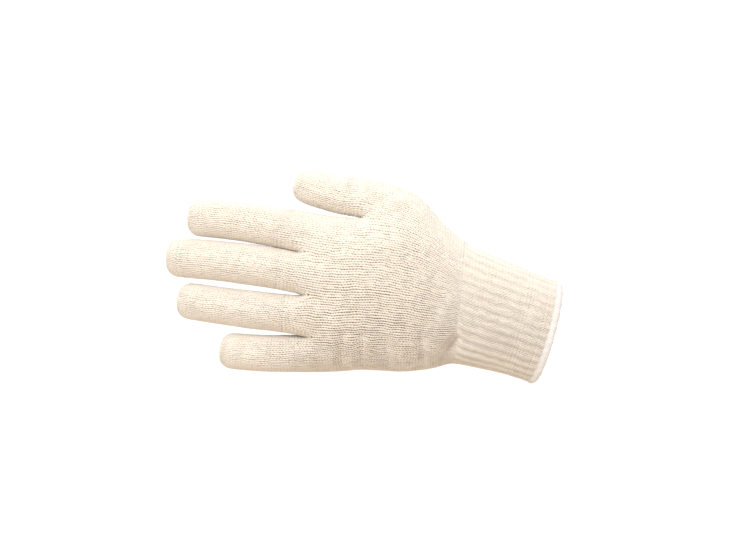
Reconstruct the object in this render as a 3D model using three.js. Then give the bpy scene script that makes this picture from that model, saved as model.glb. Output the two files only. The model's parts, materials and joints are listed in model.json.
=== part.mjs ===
// A natural cotton glove knitted in the round: a plain jersey hand, four finger tubes and a thumb
// tube, a ribbed wrist and an overlocked hem. It keeps the form that a hand gives it.
// Millimetres, +Z up. The origin is the centre of the wrist opening. Fingers point to -X, the
// thumb is on the +Z side, the back of the hand faces -Y and the palm faces +Y.
import * as THREE from "three";

// Driving dimensions
const wall = 2.0; // knitted fabric
const seamGap = 0.3; // between neighbouring pieces
const palmLength = 93.5; // wrist seam to the finger crotches
const palmDepth = 34; // back to palm at the knuckles
const littleArch = 8; // how far the little finger's edge of the hand bends towards the palm
const indexArch = 3; // and the index finger's edge
const wristWidth = 75.5;
const wristDepth = 44;
const cuffLength = 57.5; // wrist seam to the wrist opening, along the forearm
const cuffWidth = 64; // over the ribs
const cuffDepth = 47;
const cuffSlope = 18.9; // degrees that the forearm falls away from the hand
const mouthLean = 15; // degrees that the wrist opening leans, seen from the back
const mouthTurn = 6; // degrees that the opening turns towards the palm
const ribCount = 33;
const ribHeight = 1.0; // crest of a rib above its groove
const ribFade = 5; // length over which the ribs rise out of the plain knit
const hemWidth = 4.4; // overlock, along the cuff
const hemThickness = 3.8; // overlock, through the wall
const hemProud = 0.5; // overlock above the ribs
const webDepth = 5; // a crotch reaches this far beyond its ends on the back and the palm
const webSink = 0.78; // what the hollow beside a crotch keeps of the hand's depth
const middleRise = 6.8; // degrees that the middle finger points above -X
const thumbGap = 5.0; // thumb to index finger, at the thumb's tip

// One row for each finger, from the little one to the index. base is its width at the crotches
// and length runs from there to its tip. width is a share of base, depth of that width, and taper
// is what it keeps of them at the tip. bow and curl are shares of the length: bow is how far it
// arches upwards, curl how far its tip leans to the palm. gap is the space to the next finger
// towards the middle one, near the shorter one's tip.
const littleFinger = {
  name: "little_finger", base: 22.0, length: 56, width: 1.01, depth: 0.94,
  taper: 1.02, bow: -0.02, curl: 0.13, gap: 4.2,
};
const ringFinger = {
  name: "ring_finger", base: 25.6, length: 80.5, width: 0.91, depth: 0.94,
  taper: 0.97, bow: -0.008, curl: 0.14, gap: 2.5,
};
const middleFinger = {
  name: "middle_finger", base: 26.0, length: 85, width: 0.96, depth: 0.93,
  taper: 0.97, bow: 0.018, curl: 0.13, gap: 0,
};
const indexFinger = {
  name: "index_finger", base: 25.7, length: 69.4, width: 0.935, depth: 0.93,
  taper: 0.97, bow: 0.025, curl: 0.11, gap: 0.3,
};
const thumb = {
  name: "thumb", base: 25, length: 43.5, width: 0.98, depth: 0.94,
  taper: 0.87, bow: -0.02, curl: 0.18,
};
const fingers = [littleFinger, ringFinger, middleFinger, indexFinger];

// Rings along a finger or the thumb. along is a share of the stretch up to its rounded tip. back
// counts from the tip in half widths. size is a share of the tube's width and depth.
const fingerRings = [
  { along: 0.21, size: 1.0 },
  { along: 0.48, size: 1.0 },
  { along: 0.76, size: 0.985 },
];
const thumbShaftRings = [
  { along: 0.38, size: 1.0 },
  { along: 0.72, size: 1.0 },
];
const tipRings = [
  { back: 0.95, size: 0.975 },
  { back: 0.25, size: 0.8 },
];

// Rings of the hand between the wrist seam and the crotches. along is a share of palmLength,
// width and rise of the palm's width, back, palm and lift of palmDepth. lean is a ring's slope in
// degrees and round the exponent of its oval. arched is its share of the edges' bend. thumb is
// the share of the width that the thumb takes, lift how far it stands to the palm side, and
// valley what the furrow beside it keeps of the depth.
const thumbRings = [
  {
    along: 0.159, rise: 0.061, width: 0.94, lean: 3.0, back: 0.57,
    palm: 0.74, round: 2.3, arched: 0.35, thumb: 0.16, lift: 0.05, valley: 1.0,
  },
  {
    along: 0.356, rise: 0.132, width: 1.118, lean: 3.8, back: 0.54,
    palm: 0.72, round: 2.3, arched: 0.65, thumb: 0.19, lift: 0.11, valley: 0.93,
  },
  {
    along: 0.604, rise: 0.178, width: 1.19, lean: 0.0, back: 0.52,
    palm: 0.57, round: 2.5, arched: 0.9, thumb: 0.211, lift: 0.16, valley: 0.64,
  },
];
const knuckleRings = [
  {
    along: 0.794, rise: 0.052, width: 0.958, lean: -2.2, back: 0.5,
    palm: 0.47, round: 2.7, arched: 1.0,
  },
  {
    along: 1.0, rise: 0.068, width: 1.004, lean: -4.9, back: 0.41,
    palm: 0.37, round: 3.0, arched: 1.0,
  },
];

// Rings of the cuff, from the opening. along is a share of cuffLength. wrist blends from the
// cuff's width to the wrist's, depth is a share of cuffDepth, and turn of the opening's angles.
const cuffRings = [
  { along: 0.0, wrist: 0.0, depth: 1.05, turn: 1.0 },
  { along: 0.09, wrist: -0.03, depth: 1.02, turn: 1.0 },
  { along: 0.17, wrist: -0.03, depth: 0.99, turn: 1.0 },
  { along: 0.4, wrist: 0.11, depth: 0.97, turn: 0.97 },
  { along: 0.72, wrist: 0.46, depth: 0.95, turn: 0.72 },
];
const wristRing = { lean: 5.6, back: 0.48, palm: 0.52, round: 2.2, thumb: 0.13 };
const cuffRound = 2.15;

// Folds of the cloth. Ends are places on the net: column round the arm, and row from the wrist
// seam. depth and reach are shares of wristWidth, and a negative depth is a ridge.
const folds = [
  { from: { column: 0.6, row: 0.2 }, to: { column: 2.4, row: 0.2 }, depth: 0.03, reach: 0.06 },
  { from: { column: 2.4, row: 0.2 }, to: { column: 3.5, row: -0.6 }, depth: 0.014, reach: 0.06 },
  { from: { column: 1.0, row: 0.85 }, to: { column: 2.9, row: 0.9 }, depth: -0.012, reach: 0.06 },
  { from: { column: 0.9, row: 1.4 }, to: { column: 2.9, row: 1.35 }, depth: 0.014, reach: 0.06 },
  { from: { column: 0.9, row: 2.35 }, to: { column: 2.6, row: 2.4 }, depth: 0.01, reach: 0.06 },
  { from: { column: 9.0, row: 2.9 }, to: { column: 8.7, row: 2.0 }, depth: -0.014, reach: 0.06 },
];

const edgeInset = 0.15; // of a finger's base, from the hand's edge to the next column of the net
const fitRounds = 10;
const refineLevels = 3;
const fine = 2 ** refineLevels; // spans of the smooth surface for each span of the net
const facets = 2; // faces of the solids for each span of the net
const ribPoints = [-1, -1, 0, 0]; // groove and crest of one rib, in ribHeight
const cuffRows = [0, 0.22, 0.5, 0.78, 0.9, 1]; // rows of corners along the cuff
const hemTurns = 72; // faces round the hem
const hemSides = 8; // faces of the hem's section

const palmWidth = fingers.reduce((sum, finger) => sum + finger.base, 0);
const radians = THREE.MathUtils.degToRad;
const lerp = THREE.MathUtils.lerp;
const vec = (x, y, z) => new THREE.Vector3(x, y, z);
const blend = (a, b, share) => a.clone().lerp(b, share);
const slope = radians(cuffSlope);
const seamCentre = vec(-Math.cos(slope) * cuffLength, 0, Math.sin(slope) * cuffLength);

// The net: its points, and four-cornered faces whose corners know their place on a patch.
const net = { points: [], faces: [] };

function addPoint(point) {
  net.points.push(point);
  return net.points.length - 1;
}

// Faces between two closed loops of the same count.
function addBand(patch, row, near, far) {
  near.forEach((corner, column) => {
    const next = (column + 1) % near.length;
    net.faces.push({
      patch,
      corners: [corner, near[next], far[next], far[column]],
      at: [[column, row], [column + 1, row], [column + 1, row + 1], [column, row + 1]],
    });
  });
}

// Shares of the hand's width where the net's columns run, from the little finger's edge. The
// fingers have a column at each middle and crotch, and the thumb adds two of its own.
function columnShares(thumbShare) {
  const shares = [];
  let start = 0;
  fingers.forEach((finger, index) => {
    const share = finger.base / palmWidth;
    shares.push(index ? start : edgeInset * share, start + share / 2);
    start += share;
  });
  if (!thumbShare) return [...shares, 1 - (edgeInset * fingers.at(-1).base) / palmWidth];
  const rest = 1 - thumbShare;
  return [...shares.map((share) => share * rest), rest, 1 - thumbShare / 2, 1 - edgeInset * thumbShare];
}

// One oval ring round the hand or cuff, as its two edges and its columns on the back and palm.
function addRing(ring) {
  const across = vec(Math.sin(radians(ring.lean)), 0, Math.cos(radians(ring.lean)));
  const turn = radians(ring.turn ?? 0);
  const palmwards = vec(-Math.sin(turn), Math.cos(turn), 0);
  const shares = columnShares(ring.thumb);
  const furrow = shares.length - 3;
  const place = (share, depth, column) => {
    const t = 2 * share - 1;
    const oval = Math.max(0, 1 - Math.abs(t) ** ring.round) ** (1 / ring.round);
    const kept = column === furrow ? ring.valley ?? 1 : 1;
    const thumbStart = 1 - 1.4 * (ring.thumb ?? 0);
    const lift = (ring.lift ?? 0) * THREE.MathUtils.smoothstep(share, thumbStart, 1);
    const arch = ring.arches?.[t < 0 ? 0 : 1] ?? 0;
    const offset = depth * oval * kept + lift + arch * t * t;
    const point = ring.centre.clone().addScaledVector(across, (t * ring.width) / 2);
    return point.addScaledVector(palmwards, offset);
  };
  const low = addPoint(place(0, 0));
  const back = shares.map((share, column) => addPoint(place(share, -ring.back, column)));
  const high = addPoint(place(1, 0));
  const palm = shares.map((share, column) => addPoint(place(share, ring.palm, column)));
  return { low, back, high, palm, loop: [low, ...back, high, ...[...palm].reverse()] };
}

// A ring of the hand in millimetres, from its row of shares.
function handRing(row) {
  return {
    ...row,
    centre: seamCentre.clone().add(vec(-row.along * palmLength, 0, row.rise * palmWidth)),
    width: row.width * palmWidth,
    back: row.back * palmDepth,
    palm: row.palm * palmDepth,
    lift: (row.lift ?? 0) * palmDepth,
    arches: [littleArch * row.arched, indexArch * row.arched],
  };
}

// A ring of the cuff in millimetres, from its row of shares.
function cuffRing(row) {
  return {
    centre: seamCentre.clone().multiplyScalar(row.along),
    width: lerp(cuffWidth, wristWidth, row.wrist),
    back: (row.depth * cuffDepth) / 2,
    palm: (row.depth * cuffDepth) / 2,
    lean: row.turn * mouthLean,
    turn: row.turn * mouthTurn,
    round: cuffRound,
    thumb: wristRing.thumb,
  };
}

function seamRing() {
  return {
    ...wristRing,
    centre: seamCentre,
    width: wristWidth,
    back: wristRing.back * wristDepth,
    palm: wristRing.palm * wristDepth,
  };
}

function centreOf(loop) {
  const sum = loop.reduce((total, corner) => total.add(net.points[corner]), vec(0, 0, 0));
  return sum.multiplyScalar(1 / loop.length);
}

// A tube in millimetres: its row of shares with its root and the half width that it has there.
function tubeOf(row, rootLoop) {
  const half = (row.width * row.base) / 2;
  return { ...row, rootLoop, root: centreOf(rootLoop), half, bowBy: row.bow * row.length };
}

// How high a tube's middle line is at a share of its length.
function heightAt(tube, share) {
  return lerp(tube.root.z, tube.tip.z, share) + 4 * tube.bowBy * share * (1 - share);
}

// Points a tube so that its tip is at the given height.
function aimTube(tube, tipHeight) {
  const { root, length, curl } = tube;
  tube.tip = vec(root.x - length, root.y + curl * length, tipHeight);
}

// Points a finger beside its placed neighbour, with their gap at the shorter one's full width.
function aimBeside(tube, neighbour, gap) {
  const reach = Math.max(...[tube, neighbour].map(({ root, length, half }) => root.x - length + half));
  const [share, other] = [tube, neighbour].map(({ root, length }) => (root.x - reach) / length);
  const upwards = Math.sign(tube.root.z - neighbour.root.z);
  const height = heightAt(neighbour, other) + upwards * (tube.half + neighbour.half + gap);
  const arched = height - 4 * tube.bowBy * share * (1 - share);
  aimTube(tube, tube.root.z + (arched - tube.root.z) / share);
}

// The point at a share of a tube's length and the two directions across it there.
function tubeFrame(tube, share) {
  const middleLine = (s) => {
    const bend = tube.curl * tube.length * (s * s - s);
    const point = blend(tube.root, tube.tip, s);
    return point.setY(point.y + bend).setZ(heightAt(tube, s));
  };
  const step = 0.01;
  const tangent = middleLine(share + step).sub(middleLine(share - step)).normalize();
  const palmwards = vec(0, 1, 0).addScaledVector(tangent, -tangent.y).normalize();
  return { point: middleLine(share), palmwards, side: palmwards.clone().cross(tangent).normalize() };
}

const shaftRingsOf = ({ name }) => (name === thumb.name ? thumbShaftRings : fingerRings);

// Grows a tube from its root loop of eight corners, and closes its tip with four faces.
function addTube(tube) {
  const straight = 1 - tube.half / tube.length;
  const shaftRings = shaftRingsOf(tube);
  const rows = [
    ...shaftRings.map((ring) => ({ share: ring.along * straight, size: ring.size })),
    ...tipRings.map((ring) => ({ share: 1 - (ring.back * tube.half) / tube.length, size: ring.size })),
  ];
  let near = tube.rootLoop;
  rows.forEach((row, index) => {
    const frame = tubeFrame(tube, row.share);
    const half = tube.half * row.size * lerp(1, tube.taper, row.share);
    const far = near.map((_, corner) => {
      const angle = Math.PI - (corner * Math.PI) / 4;
      const sideways = Math.cos(angle) * half;
      const depthways = -Math.sin(angle) * half * tube.depth;
      const point = frame.point.clone().addScaledVector(frame.side, sideways);
      return addPoint(point.addScaledVector(frame.palmwards, depthways));
    });
    addBand(tube.name, index, near, far);
    near = far;
  });
  const tip = addPoint(tube.tip.clone());
  const [low, backLow, backMid, backHigh, high, palmHigh, palmMid, palmLow] = near;
  const cap = [
    { corners: [backLow, backMid, tip, low], at: [[0, 0], [1, 0], [1, 1], [0, 1]] },
    { corners: [backMid, backHigh, high, tip], at: [[1, 0], [2, 0], [2, 1], [1, 1]] },
    { corners: [low, tip, palmMid, palmLow], at: [[0, 1], [1, 1], [1, 2], [0, 2]] },
    { corners: [tip, high, palmHigh, palmMid], at: [[1, 1], [2, 1], [2, 2], [1, 2]] },
  ];
  cap.forEach((face) => net.faces.push({ patch: `${tube.name}_tip`, ...face }));
}

// Lays the whole net, from the wrist opening to the fingertips.
function layNet() {
  const rings = [...cuffRings.map(cuffRing), seamRing(), ...thumbRings.map(handRing)].map(addRing);
  rings.slice(1).forEach((ring, row) => addBand("arm", row, rings[row].loop, ring.loop));

  // The thumb's web splits its tube from the part that carries the four fingers.
  const fork = rings.at(-1);
  const furrow = fork.back.length - 3;
  const ends = [fork.back[furrow], fork.palm[furrow]].map((corner) => net.points[corner]);
  const thumbWeb = addPoint(blend(ends[0], ends[1], 0.5).add(vec(-webDepth / 2, 0, 0)));
  ends.forEach((end) => (end.x += webDepth / 2));
  const backs = fork.back.slice(0, furrow + 1);
  const palms = fork.palm.slice(0, furrow + 1);
  let near = [fork.low, ...backs, thumbWeb, ...palms.reverse()];
  const knuckles = knuckleRings.map(handRing).map(addRing);
  knuckles.forEach((ring, row) => {
    addBand("knuckles", row, near, ring.loop);
    near = ring.loop;
  });

  // The fingers' webs join the back's and the palm's columns at each crotch.
  const root = knuckles.at(-1);
  const webs = fingers.slice(1).map((_, index) => {
    const sides = [root.back, root.palm].map((row) => net.points[row[2 * (index + 1)]]);
    const middle = blend(sides[0], sides[1], 0.5);
    sides.forEach((side) => {
      side.x += webDepth / 2;
      side.y = lerp(middle.y, side.y, webSink);
    });
    return addPoint(middle.add(vec(-webDepth / 2, 0, 0)));
  });
  const edges = [root.low, ...webs, root.high];
  const tubes = fingers.map((finger, index) => {
    const [back, palm] = [root.back, root.palm].map((row) => row.slice(2 * index, 2 * index + 3));
    return tubeOf(finger, [edges[index], ...back, edges[index + 1], ...palm.reverse()]);
  });
  const [little, ring, middle, index] = tubes;
  aimTube(middle, middle.root.z + Math.tan(radians(middleRise)) * middle.length);
  aimBeside(index, middle, index.gap);
  aimBeside(ring, middle, ring.gap);
  aimBeside(little, ring, little.gap);
  const thumbPalm = fork.palm.slice(furrow).reverse();
  const thumbTube = tubeOf(thumb, [thumbWeb, ...fork.back.slice(furrow), fork.high, ...thumbPalm]);
  aimTube(thumbTube, net.points[root.high].z + thumbGap + thumbTube.half);
  [...tubes, thumbTube].forEach(addTube);
}

// What lies round each vertex of a mesh: its faces, edge neighbours and open edge neighbours.
function surroundings(mesh) {
  const edges = new Map();
  const lonely = () => ({ count: 0, beside: vec(0, 0, 0), opposite: vec(0, 0, 0), open: [] });
  const around = mesh.points.map(lonely);
  mesh.faces.forEach(({ corners }, face) => {
    corners.forEach((corner, side) => {
      const [next, far, last] = [1, 2, 3].map((turn) => corners[(side + turn) % 4]);
      around[corner].count += 1;
      around[corner].beside.add(mesh.points[next]).add(mesh.points[last]);
      around[corner].opposite.add(mesh.points[far]);
      const key = `${Math.min(corner, next)} ${Math.max(corner, next)}`;
      if (!edges.has(key)) edges.set(key, { ends: [corner, next], faces: [] });
      edges.get(key).faces.push(face);
    });
  });
  edges.forEach(({ ends, faces }) => {
    if (faces.length > 1) return;
    around[ends[0]].open.push(mesh.points[ends[1]]);
    around[ends[1]].open.push(mesh.points[ends[0]]);
  });
  return { edges, around };
}

// Where each vertex comes to lie on the smooth surface that the mesh stands for.
function limitPoints(mesh) {
  return surroundings(mesh).around.map(({ count, beside, opposite, open }, index) => {
    const own = mesh.points[index].clone();
    if (open.length) return own.multiplyScalar(4).add(open[0]).add(open[1]).divideScalar(6);
    own.multiplyScalar(count * count).addScaledVector(beside, 2).add(opposite);
    return own.divideScalar(count * (count + 5));
  });
}

// One round of smooth subdivision, in which each face becomes four.
function refine(mesh) {
  const { edges, around } = surroundings(mesh);
  const points = around.map(({ count, beside, opposite, open }, index) => {
    const own = mesh.points[index].clone();
    if (open.length) return own.multiplyScalar(6).add(open[0]).add(open[1]).divideScalar(8);
    own.multiplyScalar(count - 7 / 4).addScaledVector(beside, 3 / (4 * count));
    return own.addScaledVector(opposite, 1 / (4 * count)).divideScalar(count);
  });
  const faceStart = points.length;
  mesh.faces.forEach(({ corners }) => {
    const sum = corners.reduce((total, corner) => total.add(mesh.points[corner]), vec(0, 0, 0));
    points.push(sum.divideScalar(4));
  });
  const edgePoint = new Map();
  edges.forEach(({ ends, faces }, key) => {
    const sum = mesh.points[ends[0]].clone().add(mesh.points[ends[1]]);
    const beside = faces.length > 1 ? faces.map((face) => points[faceStart + face]) : [];
    beside.forEach((point) => sum.add(point));
    points.push(sum.divideScalar(2 + beside.length));
    edgePoint.set(key, points.length - 1);
  });
  const between = (a, b) => edgePoint.get(`${Math.min(a, b)} ${Math.max(a, b)}`);
  const faces = mesh.faces.flatMap(({ patch, corners, at }, face) =>
    corners.map((corner, side) => {
      const [next, , last] = [1, 2, 3].map((turn) => (side + turn) % 4);
      const sum = (a, b) => [a[0] + b[0], a[1] + b[1]];
      return {
        patch,
        corners: [corner, between(corner, corners[next]), faceStart + face, between(corners[last], corner)],
        at: [sum(at[side], at[side]), sum(at[side], at[next]), sum(at[0], at[2]), sum(at[last], at[side])],
      };
    }),
  );
  return { points, faces };
}

// Moves the net's points until the smooth surface passes through where they were laid.
function fitNet() {
  const targets = net.points.map((point) => point.clone());
  for (let round = 0; round < fitRounds; round += 1) {
    const limits = limitPoints(net);
    net.points.forEach((point, index) => point.add(targets[index]).sub(limits[index]));
  }
}

// The smooth surface: its points and outward normals, and the vertex at each place of a patch.
function smoothSurface() {
  let mesh = net;
  for (let level = 0; level < refineLevels; level += 1) mesh = refine(mesh);
  const surface = { points: limitPoints(mesh), faces: mesh.faces, places: new Map() };
  mesh.faces.forEach(({ patch, corners, at }) => {
    corners.forEach((corner, side) => surface.places.set(`${patch} ${at[side]}`, corner));
  });
  surface.normals = normalsOf(surface);
  return surface;
}

function normalsOf({ points, faces }) {
  const normals = points.map(() => vec(0, 0, 0));
  faces.forEach(({ corners }) => {
    const [a, b, c, d] = corners.map((corner) => points[corner]);
    const normal = c.clone().sub(a).cross(d.clone().sub(b));
    corners.forEach((corner) => normals[corner].add(normal));
  });
  return normals.map((normal) => normal.normalize());
}

// Presses the folds into the smooth surface.
function foldSurface(surface) {
  const placeOf = ({ column, row }) => {
    const at = [Math.round(column * fine), Math.round((cuffRings.length + row) * fine)];
    return surface.points[surface.places.get(`arm ${at}`)].clone();
  };
  const lines = folds.map((fold) => ({
    line: new THREE.Line3(placeOf(fold.from), placeOf(fold.to)),
    depth: fold.depth * wristWidth,
    reach: fold.reach * wristWidth,
  }));
  const nearest = vec(0, 0, 0);
  surface.points.forEach((point, index) => {
    const sink = lines.reduce((total, { line, depth, reach }) => {
      const distance = line.closestPointToPoint(point, true, nearest).distanceTo(point);
      return total + depth * Math.exp(-((distance / reach) ** 2));
    }, 0);
    point.addScaledVector(surface.normals[index], -sink);
  });
  surface.normals = normalsOf(surface);
}

// Closes a wall between an outer and an inner skin whose four-cornered faces match. Open edges
// get a rim. Where the cloth's own lines are given, the rim is drawn back along them by half the
// gap to the next piece.
function closedWall({ outer, inner, quads, lines }) {
  const edges = new Map();
  quads.forEach((quad) => {
    quad.forEach((corner, side) => {
      const next = quad[(side + 1) % quad.length];
      if (!edges.delete(`${next} ${corner}`)) edges.set(`${corner} ${next}`, [corner, next]);
    });
  });
  const rim = [...edges.values()];
  const onRim = new Set(rim.flat());
  const shifts = new Map();
  quads.forEach((quad) => {
    quad.forEach((corner, side) => {
      const next = quad[(side + 1) % quad.length];
      [[corner, next], [next, corner]].forEach(([edge, inside]) => {
        if (!lines || !onRim.has(edge) || onRim.has(inside)) return;
        const forward = Math.sign(outer[inside].clone().sub(outer[edge]).dot(lines[edge]));
        shifts.set(edge, lines[edge].clone().setLength((forward * seamGap) / 2));
      });
    });
  });
  shifts.forEach((shift, corner) => {
    outer[corner].add(shift);
    inner[corner].add(shift);
  });
  const count = outer.length;
  const triangles = [];
  quads.forEach(([a, b, c, d]) => {
    const shorter = outer[a].distanceToSquared(outer[c]) < outer[b].distanceToSquared(outer[d]);
    const halves = shorter ? [[a, b, c], [a, c, d]] : [[a, b, d], [b, c, d]];
    halves.forEach(([i, j, k]) => triangles.push(i, j, k, count + i, count + k, count + j));
  });
  rim.forEach(([a, b]) => triangles.push(b, a, count + a, b, count + a, count + b));
  return meshGeometry([...outer, ...inner], triangles);
}

function meshGeometry(points, triangles) {
  const geometry = new THREE.BufferGeometry().setFromPoints(points);
  geometry.setIndex(triangles);
  geometry.computeVertexNormals();
  return geometry;
}

// A knitted wall over parts of the smooth surface. Each part is a patch with its first and last
// column and row, in spans of the net.
function knittedWall(surface, parts) {
  const stride = fine / facets;
  const local = new Map();
  const outer = [];
  const inner = [];
  const lines = [];
  const corner = (patch, column, row) => {
    const vertex = surface.places.get(`${patch} ${column},${row}`);
    if (!local.has(vertex)) {
      const beside = [row - 1, row + 1].map((line) => surface.places.get(`${patch} ${column},${line}`));
      const [before, after] = beside.map((other) => surface.points[other ?? vertex]);
      local.set(vertex, outer.length);
      lines.push(after.clone().sub(before));
      outer.push(surface.points[vertex].clone());
      inner.push(surface.points[vertex].clone().addScaledVector(surface.normals[vertex], -wall));
    }
    return local.get(vertex);
  };
  const quads = [];
  parts.forEach(({ patch, columns, rows }) => {
    for (let row = rows[0] * fine; row < rows[1] * fine; row += stride) {
      for (let column = 0; column < columns * fine; column += stride) {
        const [right, top] = [column + stride, row + stride];
        const places = [[column, row], [right, row], [right, top], [column, top]];
        quads.push(places.map((place) => corner(patch, ...place)));
      }
    }
  });
  return closedWall({ outer, inner, quads, lines });
}

const armColumns = 2 * (fingers.length * 2 + 3) + 2;
const fingerColumns = 2 * (fingers.length * 2 + 1) + 2;

function palmWall(surface) {
  const firstRow = cuffRings.length;
  return knittedWall(surface, [
    { patch: "arm", columns: armColumns, rows: [firstRow, firstRow + thumbRings.length] },
    { patch: "knuckles", columns: fingerColumns, rows: [0, knuckleRings.length] },
    ...[...fingers, thumb].map(({ name }) => ({ patch: name, columns: 8, rows: [0, 1] })),
  ]);
}

function tubeWall(surface, tube) {
  const lastRow = shaftRingsOf(tube).length + tipRings.length;
  return knittedWall(surface, [
    { patch: tube.name, columns: 8, rows: [1, lastRow] },
    { patch: `${tube.name}_tip`, columns: 2, rows: [0, 2] },
  ]);
}

// The ring of points and normals round the cuff at a share of its length, a point for each of
// count equal steps round it.
function cuffLoop(surface, along, count) {
  const stops = [...cuffRings.map((ring) => ring.along), 1];
  const span = stops.findIndex((stop, index) => along <= stops[index + 1]);
  const row = (span + (along - stops[span]) / (stops[span + 1] - stops[span])) * fine;
  const [below, above] = [Math.floor(row), Math.ceil(row)];
  const loop = [...Array(armColumns * fine + 1).keys()].map((column) => {
    const [near, far] = [below, above].map((line) => surface.places.get(`arm ${column},${line}`));
    return {
      point: blend(surface.points[near], surface.points[far], row - below),
      normal: blend(surface.normals[near], surface.normals[far], row - below),
    };
  });
  const lengths = [0];
  loop.slice(1).forEach(({ point }, index) => {
    lengths.push(lengths[index] + point.distanceTo(loop[index].point));
  });
  let segment = 0;
  return [...Array(count).keys()].map((step) => {
    const length = ((step + 0.5) / count) * lengths.at(-1);
    while (lengths[segment + 1] < length) segment += 1;
    const share = (length - lengths[segment]) / (lengths[segment + 1] - lengths[segment]);
    const [before, after] = [loop[segment], loop[segment + 1]];
    return {
      point: blend(before.point, after.point, share),
      normal: blend(before.normal, after.normal, share).normalize(),
    };
  });
}

// Four-cornered faces of a grid that closes round its columns, and round its rows if asked.
function gridQuads(columns, rows, closedRows) {
  const quads = [];
  for (let row = 0; row < rows - (closedRows ? 0 : 1); row += 1) {
    const [near, far] = [row, (row + 1) % rows].map((line) => line * columns);
    for (let column = 0; column < columns; column += 1) {
      const next = (column + 1) % columns;
      quads.push([near + column, near + next, far + next, far + column]);
    }
  }
  return quads;
}

function cuffWall(surface) {
  const columns = ribCount * ribPoints.length;
  const start = (hemWidth + seamGap) / cuffLength;
  const end = 1 - seamGap / 2 / cuffLength;
  const outer = [];
  const inner = [];
  cuffRows.forEach((share) => {
    const along = lerp(start, end, share);
    const rise = THREE.MathUtils.smoothstep((1 - along) * cuffLength, 0, ribFade);
    cuffLoop(surface, along, columns).forEach(({ point, normal }, column) => {
      const relief = rise * ribHeight * ribPoints[column % ribPoints.length];
      outer.push(point.clone().addScaledVector(normal, relief));
      inner.push(point.clone().addScaledVector(normal, -wall - (rise * ribHeight) / 2));
    });
  });
  return closedWall({ outer, inner, quads: gridQuads(columns, cuffRows.length, false) });
}

function hemRing(surface) {
  const points = [];
  for (let side = 0; side < hemSides; side += 1) {
    const angle = (2 * Math.PI * side) / hemSides;
    const along = (hemWidth * (1 - Math.cos(angle))) / 2 / cuffLength;
    const height = hemProud + (hemThickness * (Math.sin(angle) - 1)) / 2;
    cuffLoop(surface, along, hemTurns).forEach(({ point, normal }) => {
      points.push(point.clone().addScaledVector(normal, height));
    });
  }
  const triangles = gridQuads(hemTurns, hemSides, true).flatMap(([a, b, c, d]) => [a, b, c, a, c, d]);
  return meshGeometry(points, triangles);
}

const cotton = { roughness: 0.95, metalness: 0 };
const jersey = new THREE.MeshStandardMaterial({ color: "#e7dbc7", ...cotton });
const rib = new THREE.MeshStandardMaterial({ color: "#ebe1cf", ...cotton });
const overlock = new THREE.MeshStandardMaterial({ color: "#f7f1e8", ...cotton });

function namedMesh(name, geometry, material) {
  const mesh = new THREE.Mesh(geometry, material);
  mesh.name = name;
  return mesh;
}

layNet();
fitNet();
const surface = smoothSurface();
foldSurface(surface);

const glove = new THREE.Group();
glove.add(
  namedMesh("palm", palmWall(surface), jersey),
  ...[...fingers, thumb].map((tube) => namedMesh(tube.name, tubeWall(surface, tube), jersey)),
  namedMesh("rib_cuff", cuffWall(surface), rib),
  namedMesh("cuff_hem", hemRing(surface), overlock),
);

export default glove;
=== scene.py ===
"""Dresses the knitted cotton glove: its jersey hand and fingers, ribbed cuff and overlocked hem.

The cloth is laid out in millimetres and turned into metres where a mesh is made. Its skins follow
every stitch, which no operator can place, so their corners are worked out from the knit. The frame
is the glove's own: fingers point to -X, the thumb is on the +Z side, the back of the hand faces -Y.
"""
import json
import logging
import math
from dataclasses import dataclass, field
from enum import Enum

import bpy
import numpy as np
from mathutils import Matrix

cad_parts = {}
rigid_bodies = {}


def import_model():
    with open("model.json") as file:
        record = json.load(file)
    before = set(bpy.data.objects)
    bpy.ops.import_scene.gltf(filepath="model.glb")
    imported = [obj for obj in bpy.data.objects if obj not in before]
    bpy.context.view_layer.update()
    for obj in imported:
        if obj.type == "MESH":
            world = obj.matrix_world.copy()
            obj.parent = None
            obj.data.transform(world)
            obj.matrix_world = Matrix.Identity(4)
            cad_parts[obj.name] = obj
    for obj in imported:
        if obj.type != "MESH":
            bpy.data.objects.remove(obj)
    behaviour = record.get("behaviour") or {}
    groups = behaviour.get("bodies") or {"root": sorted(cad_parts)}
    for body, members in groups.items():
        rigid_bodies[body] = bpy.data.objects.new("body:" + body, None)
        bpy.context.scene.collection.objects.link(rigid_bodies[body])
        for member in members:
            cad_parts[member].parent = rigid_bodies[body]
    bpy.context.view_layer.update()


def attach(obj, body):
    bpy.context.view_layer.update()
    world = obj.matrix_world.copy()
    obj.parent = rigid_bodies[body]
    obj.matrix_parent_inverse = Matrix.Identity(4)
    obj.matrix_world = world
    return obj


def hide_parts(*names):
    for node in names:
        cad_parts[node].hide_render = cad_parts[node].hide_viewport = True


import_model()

log = logging.getLogger("glove")
MILLIMETRE = 0.001
FINE = 16  # spans of the smooth cloth for each span of the net
FINE_LEVELS = 4  # rounds of halving that give as many
PATCH_STRIDE = 32  # columns between two patches on the net's UV map
TUBE_SIDES = 8
NUDGE = 1e-7  # keeps a place on a fine line from falling short of it
BODY = "root"


class Side(Enum):
    """The two faces of the hand, by the sign of Y."""

    BACK = -1
    PALM = 1


class End(Enum):
    """The two ends of a knitted piece along its wales."""

    START = 0
    FINISH = 1


@dataclass(frozen=True)
class Finger:
    """A finger or the thumb: base, length and gap in millimetres, the rest in shares of them."""

    name: str
    base: float
    length: float
    width: float
    depth: float
    taper: float
    bow: float
    curl: float
    gap: float = 0.0


@dataclass(frozen=True)
class HandRing:
    """A ring of the hand: shares of the palm's length, width and depth, and its lean in degrees."""

    along: float
    rise: float
    width: float
    lean: float
    back: float
    palm: float
    round: float  # the exponent of its oval
    arched: float
    thumb: float = 0.0
    lift: float = 0.0
    valley: float = 1.0


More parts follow.
